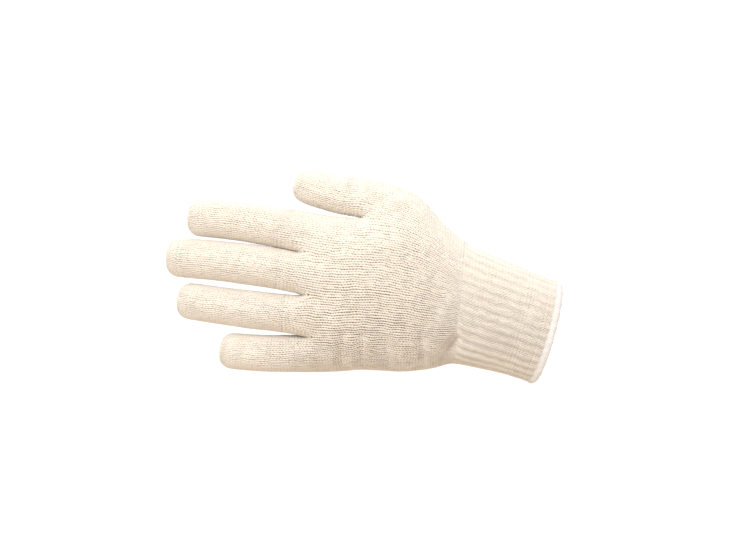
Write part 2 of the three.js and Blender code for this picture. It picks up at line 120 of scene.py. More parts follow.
@dataclass(frozen=True)
class CuffRing:
    """A ring of the cuff: shares of its length, of the way to the wrist, of its depth and turn."""

    along: float
    wrist: float
    depth: float
    turn: float


@dataclass(frozen=True)
class Oval:
    """A ring in millimetres and degrees, ready to be laid."""

    centre: np.ndarray
    width: float
    back: float
    palm: float
    lean: float
    round: float
    turn: float = 0.0
    thumb: float = 0.0
    lift: float = 0.0
    arches: tuple[float, float] = (0.0, 0.0)
    valley: float = 1.0


@dataclass(frozen=True)
class Crease:
    """A line pressed into the cloth, between two places on it."""

    start: tuple[float, float]
    end: tuple[float, float]
    depth: float
    reach: float

    def pressed(
        self, places: np.ndarray, ends: list[np.ndarray], unit_size: float = 1.0
    ) -> np.ndarray:
        """How far the crease sinks the cloth.

        Args:
            places: places of the cloth in millimetres.
            ends: the crease's two ends among them.
            unit_size: what depth and reach are multiplied by to be millimetres.

        Returns:
            The depth at each place in millimetres.
        """
        way = ends[1] - ends[0]
        share = np.clip((places - ends[0]) @ way / (way @ way), 0.0, 1.0)
        gap = np.linalg.norm(places - ends[0] - share[:, None] * way, axis=1)
        return self.depth * unit_size * np.exp(-((gap / (self.reach * unit_size)) ** 2))


@dataclass
class Loop:
    """A laid ring: its two edges and its columns on the back and the palm."""

    low: int
    back: list[int]
    high: int
    palm: list[int]

    def around(self) -> list[int]:
        """All corners in order, from the low edge over the back."""
        return [self.low, *self.back, self.high, *reversed(self.palm)]


@dataclass
class Tube:
    """A finger on its root: the loop it grows from, its root, tip and half width."""

    finger: Finger
    loop: list[int]
    root: np.ndarray
    half: float
    tip: np.ndarray = field(default_factory=lambda: np.zeros(3))

    def height(self, share: float) -> float:
        """How high the middle line is at a share of the length."""
        bow = self.finger.bow * self.finger.length
        return self.root[2] + (self.tip[2] - self.root[2]) * share + 4 * bow * share * (1 - share)

    def aim(self, tip_height: float) -> None:
        """Points the tube so that its tip is at the given height."""
        length = self.finger.length
        self.tip = self.root + (-length, self.finger.curl * length, tip_height - self.root[2])

    def middle(self, share: float) -> np.ndarray:
        """The middle line's point.

        Args:
            share: where along the tube.

        Returns:
            The point in millimetres.
        """
        bend = self.finger.curl * self.finger.length * (share * share - share)
        x, y, _ = self.root + (self.tip - self.root) * share
        return np.array((x, y + bend, self.height(share)))

    def frame(self, share: float) -> tuple[np.ndarray, np.ndarray, np.ndarray]:
        """The middle line's point and the two directions across it.

        Args:
            share: where along the tube.

        Returns:
            The point, the direction to the side and the one to the palm.
        """
        step = 0.01
        tangent = unit(self.middle(share + step) - self.middle(share - step))
        palmwards = unit(np.array((0.0, 1.0, 0.0)) - tangent * tangent[1])
        return self.middle(share), unit(np.cross(palmwards, tangent)), palmwards


@dataclass(frozen=True)
class GloveForm:
    """The glove's driving sizes in millimetres and degrees, and its tables of sections."""

    palm_length: float = 93.5
    palm_depth: float = 34.0
    little_arch: float = 8.0
    index_arch: float = 3.0
    wrist_width: float = 75.5
    wrist_depth: float = 44.0
    cuff_length: float = 57.5
    cuff_width: float = 64.0
    cuff_depth: float = 47.0
    cuff_slope: float = 18.9
    mouth_lean: float = 15.0
    mouth_turn: float = 6.0
    cuff_round: float = 2.15
    web_depth: float = 5.0
    web_sink: float = 0.78
    middle_rise: float = 6.8
    thumb_gap: float = 5.0
    edge_inset: float = 0.15
    wall: float = 2.0
    fit_rounds: int = 10
    fingers: tuple[Finger, ...] = (
        Finger("little_finger", 22.0, 56.0, 1.01, 0.94, 1.02, -0.02, 0.13, 4.2),
        Finger("ring_finger", 25.6, 80.5, 0.91, 0.94, 0.97, -0.008, 0.14, 2.5),
        Finger("middle_finger", 26.0, 85.0, 0.96, 0.93, 0.97, 0.018, 0.13, 0.0),
        Finger("index_finger", 25.7, 69.4, 0.935, 0.93, 0.97, 0.025, 0.11, 1.1),
    )
    thumb: Finger = Finger("thumb", 25.0, 43.5, 0.98, 0.94, 0.87, -0.02, 0.18)
    finger_rings: tuple[tuple[float, float], ...] = ((0.21, 1.0), (0.48, 1.0), (0.76, 0.985))
    thumb_shaft: tuple[tuple[float, float], ...] = ((0.38, 1.0), (0.72, 1.0))
    tip_rings: tuple[tuple[float, float], ...] = ((0.95, 0.975), (0.25, 0.8))
    thumb_rings: tuple[HandRing, ...] = (
        HandRing(0.159, 0.061, 0.94, 3.0, 0.57, 0.74, 2.3, 0.35, 0.16, 0.05, 1.0),
        HandRing(0.356, 0.132, 1.118, 3.8, 0.54, 0.72, 2.3, 0.65, 0.19, 0.11, 0.93),
        HandRing(0.604, 0.178, 1.19, 0.0, 0.52, 0.57, 2.5, 0.9, 0.211, 0.16, 0.64),
    )
    knuckle_rings: tuple[HandRing, ...] = (
        HandRing(0.794, 0.052, 0.958, -2.2, 0.5, 0.47, 2.7, 1.0),
        HandRing(1.0, 0.068, 1.004, -4.9, 0.41, 0.37, 3.0, 1.0),
    )
    cuff_rings: tuple[CuffRing, ...] = (
        CuffRing(0.0, 0.0, 1.05, 1.0),
        CuffRing(0.09, -0.03, 1.02, 1.0),
        CuffRing(0.17, -0.03, 0.99, 1.0),
        CuffRing(0.4, 0.11, 0.97, 0.97),
        CuffRing(0.72, 0.46, 0.95, 0.72),
    )
    wrist_lean: float = 5.6
    wrist_back: float = 0.48
    wrist_palm: float = 0.52
    wrist_round: float = 2.2
    wrist_thumb: float = 0.13
    # columns and rows of the arm's net past the seam; sizes in shares of the wrist's width
    folds: tuple[Crease, ...] = (
        Crease((0.6, 0.2), (2.4, 0.2), 0.03, 0.06),
        Crease((2.4, 0.2), (3.5, -0.6), 0.014, 0.06),
        Crease((1.0, 0.85), (2.9, 0.9), -0.012, 0.06),
        Crease((0.9, 1.4), (2.9, 1.35), 0.014, 0.06),
        Crease((0.9, 2.35), (2.6, 2.4), 0.01, 0.06),
        Crease((9.0, 2.9), (8.7, 2.0), -0.014, 0.06),
    )
    # millimetres along X and Z, on the back of the hand
    creases: tuple[Crease, ...] = (
        Crease((-56.0, 14.0), (-57.0, -4.0), 1.1, 3.0),
        Crease((-57.0, -4.0), (-66.0, -17.0), 2.2, 2.8),
        Crease((-63.0, 18.0), (-70.0, -8.0), -1.2, 3.4),
        Crease((-78.0, 4.0), (-76.0, -17.0), 1.0, 2.2),
        Crease((-86.5, 5.0), (-84.0, -18.0), 1.1, 2.4),
        Crease((-82.0, 0.0), (-80.0, -16.0), -0.4, 2.0),
        Crease((-93.0, -2.0), (-92.0, -18.0), -0.6, 2.4),
        Crease((-98.0, -6.0), (-97.0, -19.0), 0.6, 2.2),
        Crease((-108.0, -4.0), (-107.0, -20.0), -0.6, 2.6),
        Crease((-113.5, -1.0), (-113.0, -20.0), 1.1, 2.2),
        Crease((-119.0, -3.0), (-119.0, -20.0), -0.7, 2.0),
        Crease((-125.0, -1.0), (-125.5, -19.0), 1.1, 2.2),
        Crease((-131.5, 8.0), (-130.5, -18.0), -1.1, 3.0),
        Crease((-108.0, 68.0), (-90.0, 81.0), -1.0, 3.2),
        Crease((-124.0, 60.0), (-112.0, 56.0), 1.2, 6.0),
        Crease((-103.0, 78.0), (-88.0, 87.0), 0.8, 3.6),
        Crease((-121.0, 93.0), (-117.0, 82.0), 0.5, 2.6),
    )

    @property
    def palm_width(self) -> float:
        """The four fingers side by side."""
        return sum(finger.base for finger in self.fingers)

    @property
    def seam_centre(self) -> np.ndarray:
        """The middle of the wrist, from the opening's centre."""
        slope = math.radians(self.cuff_slope)
        return self.cuff_length * np.array((-math.cos(slope), 0.0, math.sin(slope)))

    @property
    def tubes(self) -> tuple[Finger, ...]:
        """The fingers and the thumb."""
        return (*self.fingers, self.thumb)

    @property
    def tube_names(self) -> set[str]:
        """The names of the fingers and the thumb."""
        return {finger.name for finger in self.tubes}

    @property
    def seam(self) -> int:
        """The row of the arm's net that lies on the wrist seam."""
        return len(self.cuff_rings)

    def shaft_rings(self, name: str) -> tuple[tuple[float, float], ...]:
        """The rings along a tube's straight stretch."""
        return self.thumb_shaft if name == self.thumb.name else self.finger_rings

    def tube_rows(self, name: str) -> int:
        """How many spans a tube has up to its tip's patch."""
        return len(self.shaft_rings(name)) + len(self.tip_rings)

    def hand_oval(self, ring: HandRing) -> Oval:
        """A ring of the hand.

        Args:
            ring: the ring in shares.

        Returns:
            The ring in millimetres.
        """
        shift = np.array((-ring.along * self.palm_length, 0.0, ring.rise * self.palm_width))
        depth = self.palm_depth
        return Oval(
            self.seam_centre + shift, ring.width * self.palm_width, ring.back * depth,
            ring.palm * depth, ring.lean, ring.round, 0.0, ring.thumb, ring.lift * depth,
            (self.little_arch * ring.arched, self.index_arch * ring.arched), ring.valley,
        )

    def cuff_oval(self, ring: CuffRing) -> Oval:
        """A ring of the cuff.

        Args:
            ring: the ring in shares.

        Returns:
            The ring in millimetres.
        """
        width = self.cuff_width + (self.wrist_width - self.cuff_width) * ring.wrist
        half_depth = ring.depth * self.cuff_depth / 2
        return Oval(
            self.seam_centre * ring.along, width, half_depth, half_depth,
            ring.turn * self.mouth_lean, self.cuff_round, ring.turn * self.mouth_turn,
            self.wrist_thumb,
        )

    def wrist_oval(self) -> Oval:
        """The ring at the wrist seam in millimetres."""
        return Oval(
            self.seam_centre, self.wrist_width, self.wrist_back * self.wrist_depth,
            self.wrist_palm * self.wrist_depth, self.wrist_lean, self.wrist_round, 0.0,
            self.wrist_thumb,
        )


def unit(vector: np.ndarray) -> np.ndarray:
    """The vectors in the last axis at length one, or zero where they have none."""
    length = np.linalg.norm(vector, axis=-1, keepdims=True)
    return vector / np.maximum(length, 1e-9)


def smoothstep(value: np.ndarray | float, low: float, high: float) -> np.ndarray | float:
    """0 below low, 1 above high and smooth between them."""
    t = np.clip((value - low) / (high - low), 0.0, 1.0)
    return t * t * (3 - 2 * t)


def running_total(counts: list[int]) -> np.ndarray:
    """The sums of the first items of a list, from none of them to all."""
    return np.concatenate([[0], np.cumsum(counts)])


def fill(
    items: bpy.types.bpy_prop_collection, name: str, values: np.ndarray, kind: type = np.float32
) -> None:
    """Gives one property to all items of a mesh."""
    items.foreach_set(name, values.ravel().astype(kind))


@dataclass(frozen=True)
class Unevenness:
    """Slow waves through space that keep a knitted cloth from looking machined."""

    seed: int
    shortest: float  # millimetres
    longest: float
    count: int = 14

    def at(self, places: np.ndarray) -> np.ndarray:
        """How far the cloth strays.

        Args:
            places: places in millimetres.

        Returns:
            The stray at each place, about one either way.
        """
        draw = np.random.default_rng(self.seed)
        ways = unit(draw.normal(size=(self.count, 3)))
        lengths = draw.uniform(self.shortest, self.longest, self.count)
        starts = draw.uniform(0.0, 2 * math.pi, self.count)
        waves = np.sin(places @ (ways * (2 * math.pi / lengths)[:, None]).T + starts)
        return waves.sum(-1) / math.sqrt(self.count / 2)


ACROSS = Unevenness(11, 5.0, 15.0)
ALONG = Unevenness(23, 4.0, 12.0)
LOFT = Unevenness(37, 7.0, 24.0)
SLACK = Unevenness(51, 4.0, 20.0)


@dataclass(frozen=True)
class TensionAndShade:
    """How open the stitches stand, which sets their height and scales their painted gap shade.

    The painted shade runs darker low on the hand and on the heel and lighter high up, standing in for
    light from above. The places are millimetres, low and high along Z and the others along X.
    """

    low: float = -15.0
    high: float = 66.0
    most: float = 1.65  # at low, where the painted gap shade is darkest
    least: float = 0.68  # at high, where the painted gap shade is lightest
    knuckles: float = -132.0
    tips: float = -190.0
    fingers: float = 0.78  # at the tips
    wrist: float = -57.0
    heel: float = -76.0
    gathered: float = 0.8  # at the wrist, as a share of the rest
    hollow: float = -106.0
    strained: float = 0.2  # more than the rest, low on the heel, which darkens the painted shade there
    patchiness: float = 0.08

    def at(self, places: np.ndarray) -> np.ndarray:
        """How open the stitches are.

        Args:
            places: places in millimetres.

        Returns:
            The openness at each place, about 1.
        """
        x = places[..., 0]
        up = np.clip((places[..., 2] - self.low) / (self.high - self.low), 0.0, 1.0)
        hand = self.most + (self.least - self.most) * up
        hand = hand + (self.fingers - hand) * smoothstep(-x, -self.knuckles, -self.tips)
        hand = hand * (1 + self.strained * (1 - up) * smoothstep(x, self.hollow, self.heel))
        hand = hand * (1 + (self.gathered - 1) * smoothstep(x, self.heel, self.wrist))
        return hand * (1 + self.patchiness * SLACK.at(places))


class Net:
    """The coarse net that the smooth cloth passes through."""

    thumb_lift_reach = 1.4  # widths of the thumb over which its root rises to the palm

    def __init__(self, form: GloveForm) -> None:
        """Lays the whole net, from the wrist opening to the fingertips, and fits it.

        Args:
            form: the glove's sizes.
        """
        self.form = form
        self.points: list[np.ndarray] = []
        self.faces: list[tuple[str, list[int], list[tuple[int, int]]]] = []
        self.lay()
        self.fit()

    def add(self, point: np.ndarray) -> int:
        """Adds a point and returns its number."""
        self.points.append(np.array(point, float))
        return len(self.points) - 1

    def band(self, patch: str, row: int, near: list[int], far: list[int]) -> None:
        """Adds the faces between two closed loops of the same count.

        Args:
            patch: the name of the patch that they belong to.
            row: their row in it.
            near: the corners of the loop on that row.
            far: the corners of the next loop.
        """
        for column, corner in enumerate(near):
            after = (column + 1) % len(near)
            corners = [corner, near[after], far[after], far[column]]
            places = [(column, row), (column + 1, row), (column + 1, row + 1), (column, row + 1)]
            self.faces.append((patch, corners, places))

    def shares(self, thumb: float) -> list[float]:
        """Where the columns run across the hand.

        Args:
            thumb: the thumb's share of the width, or 0.

        Returns:
            The shares of the width from the low edge.
        """
        form, start, found = self.form, 0.0, []
        for index, finger in enumerate(form.fingers):
            share = finger.base / form.palm_width
            found += [start if index else form.edge_inset * share, start + share / 2]
            start += share
        if not thumb:
            return [*found, 1 - form.edge_inset * form.fingers[-1].base / form.palm_width]
        rest = 1 - thumb
        return [*(share * rest for share in found), rest, 1 - thumb / 2, 1 - form.edge_inset * thumb]

    def ring(self, oval: Oval) -> Loop:
        """Lays one oval ring.

        Args:
            oval: the ring in millimetres.

        Returns:
            The numbers of its corners.
        """
        lean, turn = math.radians(oval.lean), math.radians(oval.turn)
        across = np.array((math.sin(lean), 0.0, math.cos(lean)))
        palmwards = np.array((-math.sin(turn), math.cos(turn), 0.0))
        shares = self.shares(oval.thumb)
        furrow = len(shares) - 3

        def place(share: float, depth: float, column: int = -1) -> int:
            """Adds one point of the ring.

            Args:
                share: its share of the width, from the low edge.
                depth: the ring's depth on its side, positive to the palm.
                column: its column, or -1 on an edge.

            Returns:
                Its number.
            """
            t = 2 * share - 1
            round_off = max(0.0, 1 - abs(t) ** oval.round) ** (1 / oval.round)
            kept = oval.valley if column == furrow else 1.0
            rise_from = 1 - self.thumb_lift_reach * oval.thumb
            lift = oval.lift * smoothstep(share, rise_from, 1.0) if oval.thumb else 0.0
            arch = oval.arches[0 if t < 0 else 1]
            offset = depth * round_off * kept + lift + arch * t * t
            return self.add(oval.centre + across * (t * oval.width / 2) + palmwards * offset)

        low = place(0.0, 0.0)
        sides = {}
        for side, depth in ((Side.BACK, oval.back), (Side.PALM, oval.palm)):
            if side is Side.PALM:
                high = place(1.0, 0.0)
            sides[side] = [place(share, side.value * depth, column) for column, share in enumerate(shares)]
        return Loop(low, sides[Side.BACK], high, sides[Side.PALM])

    def tube(self, finger: Finger, loop: list[int]) -> Tube:
        """A tube on its root loop."""
        root = sum(self.points[corner] for corner in loop) / len(loop)
        return Tube(finger, loop, root, finger.width * finger.base / 2)

    @staticmethod
    def aim_beside(tube: Tube, neighbour: Tube, gap: float) -> None:
        """Points a finger beside its placed neighbour, with their gap near the shorter tip.

        Args:
            tube: the finger to point.
            neighbour: the one that is placed.
            gap: the room between them.
        """
        pair = (tube, neighbour)
        reach = max(one.root[0] - one.finger.length + one.half for one in pair)
        share, other = ((one.root[0] - reach) / one.finger.length for one in pair)
        upwards = math.copysign(1.0, tube.root[2] - neighbour.root[2])
        height = neighbour.height(other) + upwards * (tube.half + neighbour.half + gap)
        arched = height - 4 * tube.finger.bow * tube.finger.length * share * (1 - share)
        tube.aim(tube.root[2] + (arched - tube.root[2]) / share)

    def grow(self, tube: Tube) -> None:
        """Grows a tube from its root loop and closes its tip with four faces.

        Args:
            tube: the tube, pointed.
        """
        finger, length = tube.finger, tube.finger.length
        straight = 1 - tube.half / length
        rows = [(along * straight, size) for along, size in self.form.shaft_rings(finger.name)]
        rows += [(1 - back * tube.half / length, size) for back, size in self.form.tip_rings]
        near = tube.loop
        for index, (share, size) in enumerate(rows):
            point, side, palmwards = tube.frame(share)
            half = tube.half * size * (1 + (finger.taper - 1) * share)
            far = []
            for corner in range(TUBE_SIDES):
                angle = math.pi - 2 * math.pi * corner / TUBE_SIDES
                depthways = -math.sin(angle) * half * finger.depth
                far.append(self.add(point + side * (math.cos(angle) * half) + palmwards * depthways))
            self.band(finger.name, index, near, far)
            near = far
        tip = self.add(tube.tip)
        low, back_low, back_mid, back_high, high, palm_high, palm_mid, palm_low = near
        patch = f"{finger.name}_tip"
        self.faces += [
            (patch, [back_low, back_mid, tip, low], [(0, 0), (1, 0), (1, 1), (0, 1)]),
            (patch, [back_mid, back_high, high, tip], [(1, 0), (2, 0), (2, 1), (1, 1)]),
            (patch, [low, tip, palm_mid, palm_low], [(0, 1), (1, 1), (1, 2), (0, 2)]),
            (patch, [tip, high, palm_high, palm_mid], [(1, 1), (2, 1), (2, 2), (1, 2)]),
        ]

    def lay(self) -> None:
        """Lays the rings of the cuff and hand, the webs between the fingers, and the tubes."""
        form, points = self.form, self.points
        ovals = [form.cuff_oval(ring) for ring in form.cuff_rings] + [form.wrist_oval()]
        ovals += [form.hand_oval(ring) for ring in form.thumb_rings]
        rings = [self.ring(oval) for oval in ovals]
        for row, ring in enumerate(rings[1:]):
            self.band("arm", row, rings[row].around(), ring.around())

        fork = rings[-1]
        furrow = len(fork.back) - 3
        ends = [points[fork.back[furrow]], points[fork.palm[furrow]]]
        thumb_web = self.add(sum(ends) / 2 - (form.web_depth / 2, 0.0, 0.0))
        for end in ends:
            end[0] += form.web_depth / 2
        near = [fork.low, *fork.back[: furrow + 1], thumb_web, *reversed(fork.palm[: furrow + 1])]
        for row, knuckle in enumerate(form.knuckle_rings):
            root = self.ring(form.hand_oval(knuckle))
            self.band("knuckles", row, near, root.around())
            near = root.around()

        webs = []
        for index in range(1, len(form.fingers)):
            sides = [points[row[2 * index]] for row in (root.back, root.palm)]
            middle = sum(sides) / 2
            for side in sides:
                side[0] += form.web_depth / 2
                side[1] = middle[1] + (side[1] - middle[1]) * form.web_sink
            webs.append(self.add(middle - (form.web_depth / 2, 0.0, 0.0)))
        edges = [root.low, *webs, root.high]
        tubes = []
        for index, finger in enumerate(form.fingers):
            back, palm = (row[2 * index : 2 * index + 3] for row in (root.back, root.palm))
            tubes.append(self.tube(finger, [edges[index], *back, edges[index + 1], *reversed(palm)]))
        little, ring, middle, index = tubes
        middle.aim(middle.root[2] + math.tan(math.radians(form.middle_rise)) * middle.finger.length)
        self.aim_beside(index, middle, index.finger.gap)
        self.aim_beside(ring, middle, ring.finger.gap)
        self.aim_beside(little, ring, little.finger.gap)
        thumb_palm = list(reversed(fork.palm[furrow:]))
        thumb = self.tube(form.thumb, [thumb_web, *fork.back[furrow:], fork.high, *thumb_palm])
        thumb.aim(points[root.high][2] + form.thumb_gap + thumb.half)
        for tube in (*tubes, thumb):
            self.grow(tube)

    def fit(self) -> None:
        """Moves the net's points until the smooth cloth passes through where they were laid.

        Each round works out where Catmull-Clark rounding would take every point, and moves the
        point by what is missing.
        """
        points = np.array(self.points)
        quads = np.array([corners for _, corners, _ in self.faces])
        count = np.bincount(quads.ravel(), minlength=len(points))[:, None].astype(float)
        edges: dict[tuple[int, int], int] = {}
        for quad in quads.tolist():
            for side in range(4):
                ends = sorted((quad[side], quad[(side + 1) % 4]))
                edges[tuple(ends)] = edges.get(tuple(ends), 0) + 1
        rim = np.array([ends for ends, faces in edges.items() if faces == 1])
        targets = points.copy()
        for _ in range(self.form.fit_rounds):
            beside, opposite = np.zeros_like(points), np.zeros_like(points)
            for side in range(4):
                corner, after, far, last = (quads[:, (side + turn) % 4] for turn in range(4))
                np.add.at(beside, corner, points[after] + points[last])
                np.add.at(opposite, corner, points[far])
            limits = (count**2 * points + 2 * beside + opposite) / (count * (count + 5))
            open_sum = np.zeros_like(points)
            np.add.at(open_sum, rim[:, 0], points[rim[:, 1]])
            np.add.at(open_sum, rim[:, 1], points[rim[:, 0]])
            on_rim = np.unique(rim)
            limits[on_rim] = (4 * points[on_rim] + open_sum[on_rim]) / 6
            points += targets - limits
        self.points = list(points)


class Cloth:
    """The smooth cloth: its points, outward normals and wale directions, patch by patch."""

    back_facing = 0.4  # from here the small creases have their full depth

    def __init__(self, net: Net) -> None:
        """Rounds the net off and presses the folds in.

        Args:
            net: the fitted net.
        """
        self.form = net.form
        self.patches = list(dict.fromkeys(patch for patch, _, _ in net.faces))
        self.size = {
            patch: tuple(
                max(place[axis] for name, _, places in net.faces if name == patch for place in places)
                for axis in (0, 1)
            )
            for patch in self.patches
        }
        piece = self.subdivided(net)
        mesh = piece.data
        self.points = self.read(mesh.vertices, "co", 3)
        self.ids = self.places(mesh)
        self.press_folds()
        mesh.vertices.foreach_set("co", self.points.ravel().astype(np.float32))
        mesh.update()
        self.normals = self.read(mesh.vertices, "normal", 3)
        bpy.data.objects.remove(piece)
        bpy.data.meshes.remove(mesh)
        self.wales = np.zeros_like(self.points)
        for patch, ids in self.ids.items():
            if not patch.endswith("_tip"):
                slopes = np.gradient(self.points[ids], axis=1)
                np.add.at(self.wales, ids.ravel(), slopes.reshape(-1, 3))
        self.wales = unit(self.wales)

    @staticmethod
    def read(items: bpy.types.bpy_prop_collection, name: str, width: int) -> np.ndarray:
        """Reads a property of all vertices or loops.

        Args:
            items: the vertices or loops.
            name: the property.
            width: how many numbers it has.

        Returns:
            An array with a row for each of them.
        """
        values = np.empty(len(items) * width, np.float32)
        items.foreach_get(name, values)
        return values.reshape(-1, width).astype(float)

    def subdivided(self, net: Net) -> bpy.types.Object:
        """The net as an object whose Subdivision Surface is applied.

        Args:
            net: the fitted net.

        Returns:
            The smooth object, whose UV map holds each corner's column and row.
        """
        mesh = bpy.data.meshes.new("net")
        mesh.from_pydata([tuple(point) for point in net.points], [], [face[1] for face in net.faces])
        places = mesh.uv_layers.new(name="place").data
        corner = 0
        for patch, _, at in net.faces:
            start = PATCH_STRIDE * self.patches.index(patch)
            for column, row in at:
                places[corner].uv = (start + column, row)
                corner += 1
        piece = bpy.data.objects.new("net", mesh)
        bpy.context.scene.collection.objects.link(piece)
        select_only(piece)
        rounded = piece.modifiers.new("round", "SUBSURF")
        rounded.levels = rounded.render_levels = FINE_LEVELS
        rounded.uv_smooth = "NONE"
        rounded.boundary_smooth = "ALL"
        rounded.quality = 5
        bpy.ops.object.modifier_apply(modifier=rounded.name)
        return piece

    def places(self, mesh: bpy.types.Mesh) -> dict[str, np.ndarray]:
        """Finds the vertex at each column and row.

        Args:
            mesh: the smooth cloth's mesh.

        Returns:
            The vertex numbers of each patch, columns by rows.
        """
        vertices = np.empty(len(mesh.loops), np.int64)
        mesh.loops.foreach_get("vertex_index", vertices)
        at = self.read(mesh.uv_layers["place"].data, "uv", 2)
        found = {}
        for number, patch in enumerate(self.patches):
            start = PATCH_STRIDE * number
            mine = (at[:, 0] >= start - 0.5) & (at[:, 0] < start + PATCH_STRIDE - 1)
            columns = np.rint((at[mine, 0] - start) * FINE).astype(int)
            rows = np.rint(at[mine, 1] * FINE).astype(int)
            width, height = self.size[patch]
            ids = np.full((width * FINE + 1, height * FINE + 1), -1)
            ids[columns, rows] = vertices[mine]
            found[patch] = ids
        return found

    def press_folds(self) -> None:
        """Presses the folds and the small creases into the cloth along its normals."""
        form, ids = self.form, self.ids["arm"]
        sink = np.zeros(len(self.points))
        for fold in form.folds:
            ends = [
                self.points[ids[round(column * FINE), round((form.seam + row) * FINE)]]
                for column, row in (fold.start, fold.end)
            ]
            sink += fold.pressed(self.points, ends, form.wrist_width)
        normals = np.zeros_like(self.points)
        for grid in self.ids.values():
            spot = self.points[grid]
            turned = np.cross(np.gradient(spot, axis=0), np.gradient(spot, axis=1))
            np.add.at(normals, grid.ravel(), turned.reshape(-1, 3))
        normals = unit(normals)
        facing = smoothstep(-normals[:, 1], 0.0, self.back_facing)
        for crease in form.creases:
            ends = [np.array(crease.start), np.array(crease.end)]
            sink += crease.pressed(self.points[:, [0, 2]], ends) * facing
        self.points = self.points - normals * sink[:, None]

    def corners(
        self, patch: str, columns: np.ndarray, rows: np.ndarray
    ) -> tuple[np.ndarray, np.ndarray]:
        """The four vertices round each place and their shares of it.

        Args:
            patch: the patch's name.
            columns: places across the patch, in spans of the net.
            rows: places along it.

        Returns:
            The vertex numbers and their shares, in a last axis of four.
        """
        ids = self.ids[patch]
        x = np.clip(columns * FINE, 0, ids.shape[0] - 1)
        y = np.clip(rows * FINE, 0, ids.shape[1] - 1)
        i = np.minimum((x + NUDGE).astype(int), ids.shape[0] - 2)
        j = np.minimum((y + NUDGE).astype(int), ids.shape[1] - 2)
        fx, fy = np.clip(x - i, 0, 1), np.clip(y - j, 0, 1)
        numbers = np.stack([ids[i, j], ids[i + 1, j], ids[i + 1, j + 1], ids[i, j + 1]], -1)
        parts = np.stack([(1 - fx) * (1 - fy), fx * (1 - fy), fx * fy, (1 - fx) * fy], -1)
        return numbers, parts

    def span_length(self, patch: str, row: int) -> float:
        """How long the wales are between two rows of the net, on average."""
        near, far = (self.points[self.ids[patch][:, line * FINE]] for line in (row, row + 1))
        return float(np.linalg.norm(far - near, axis=1).mean())


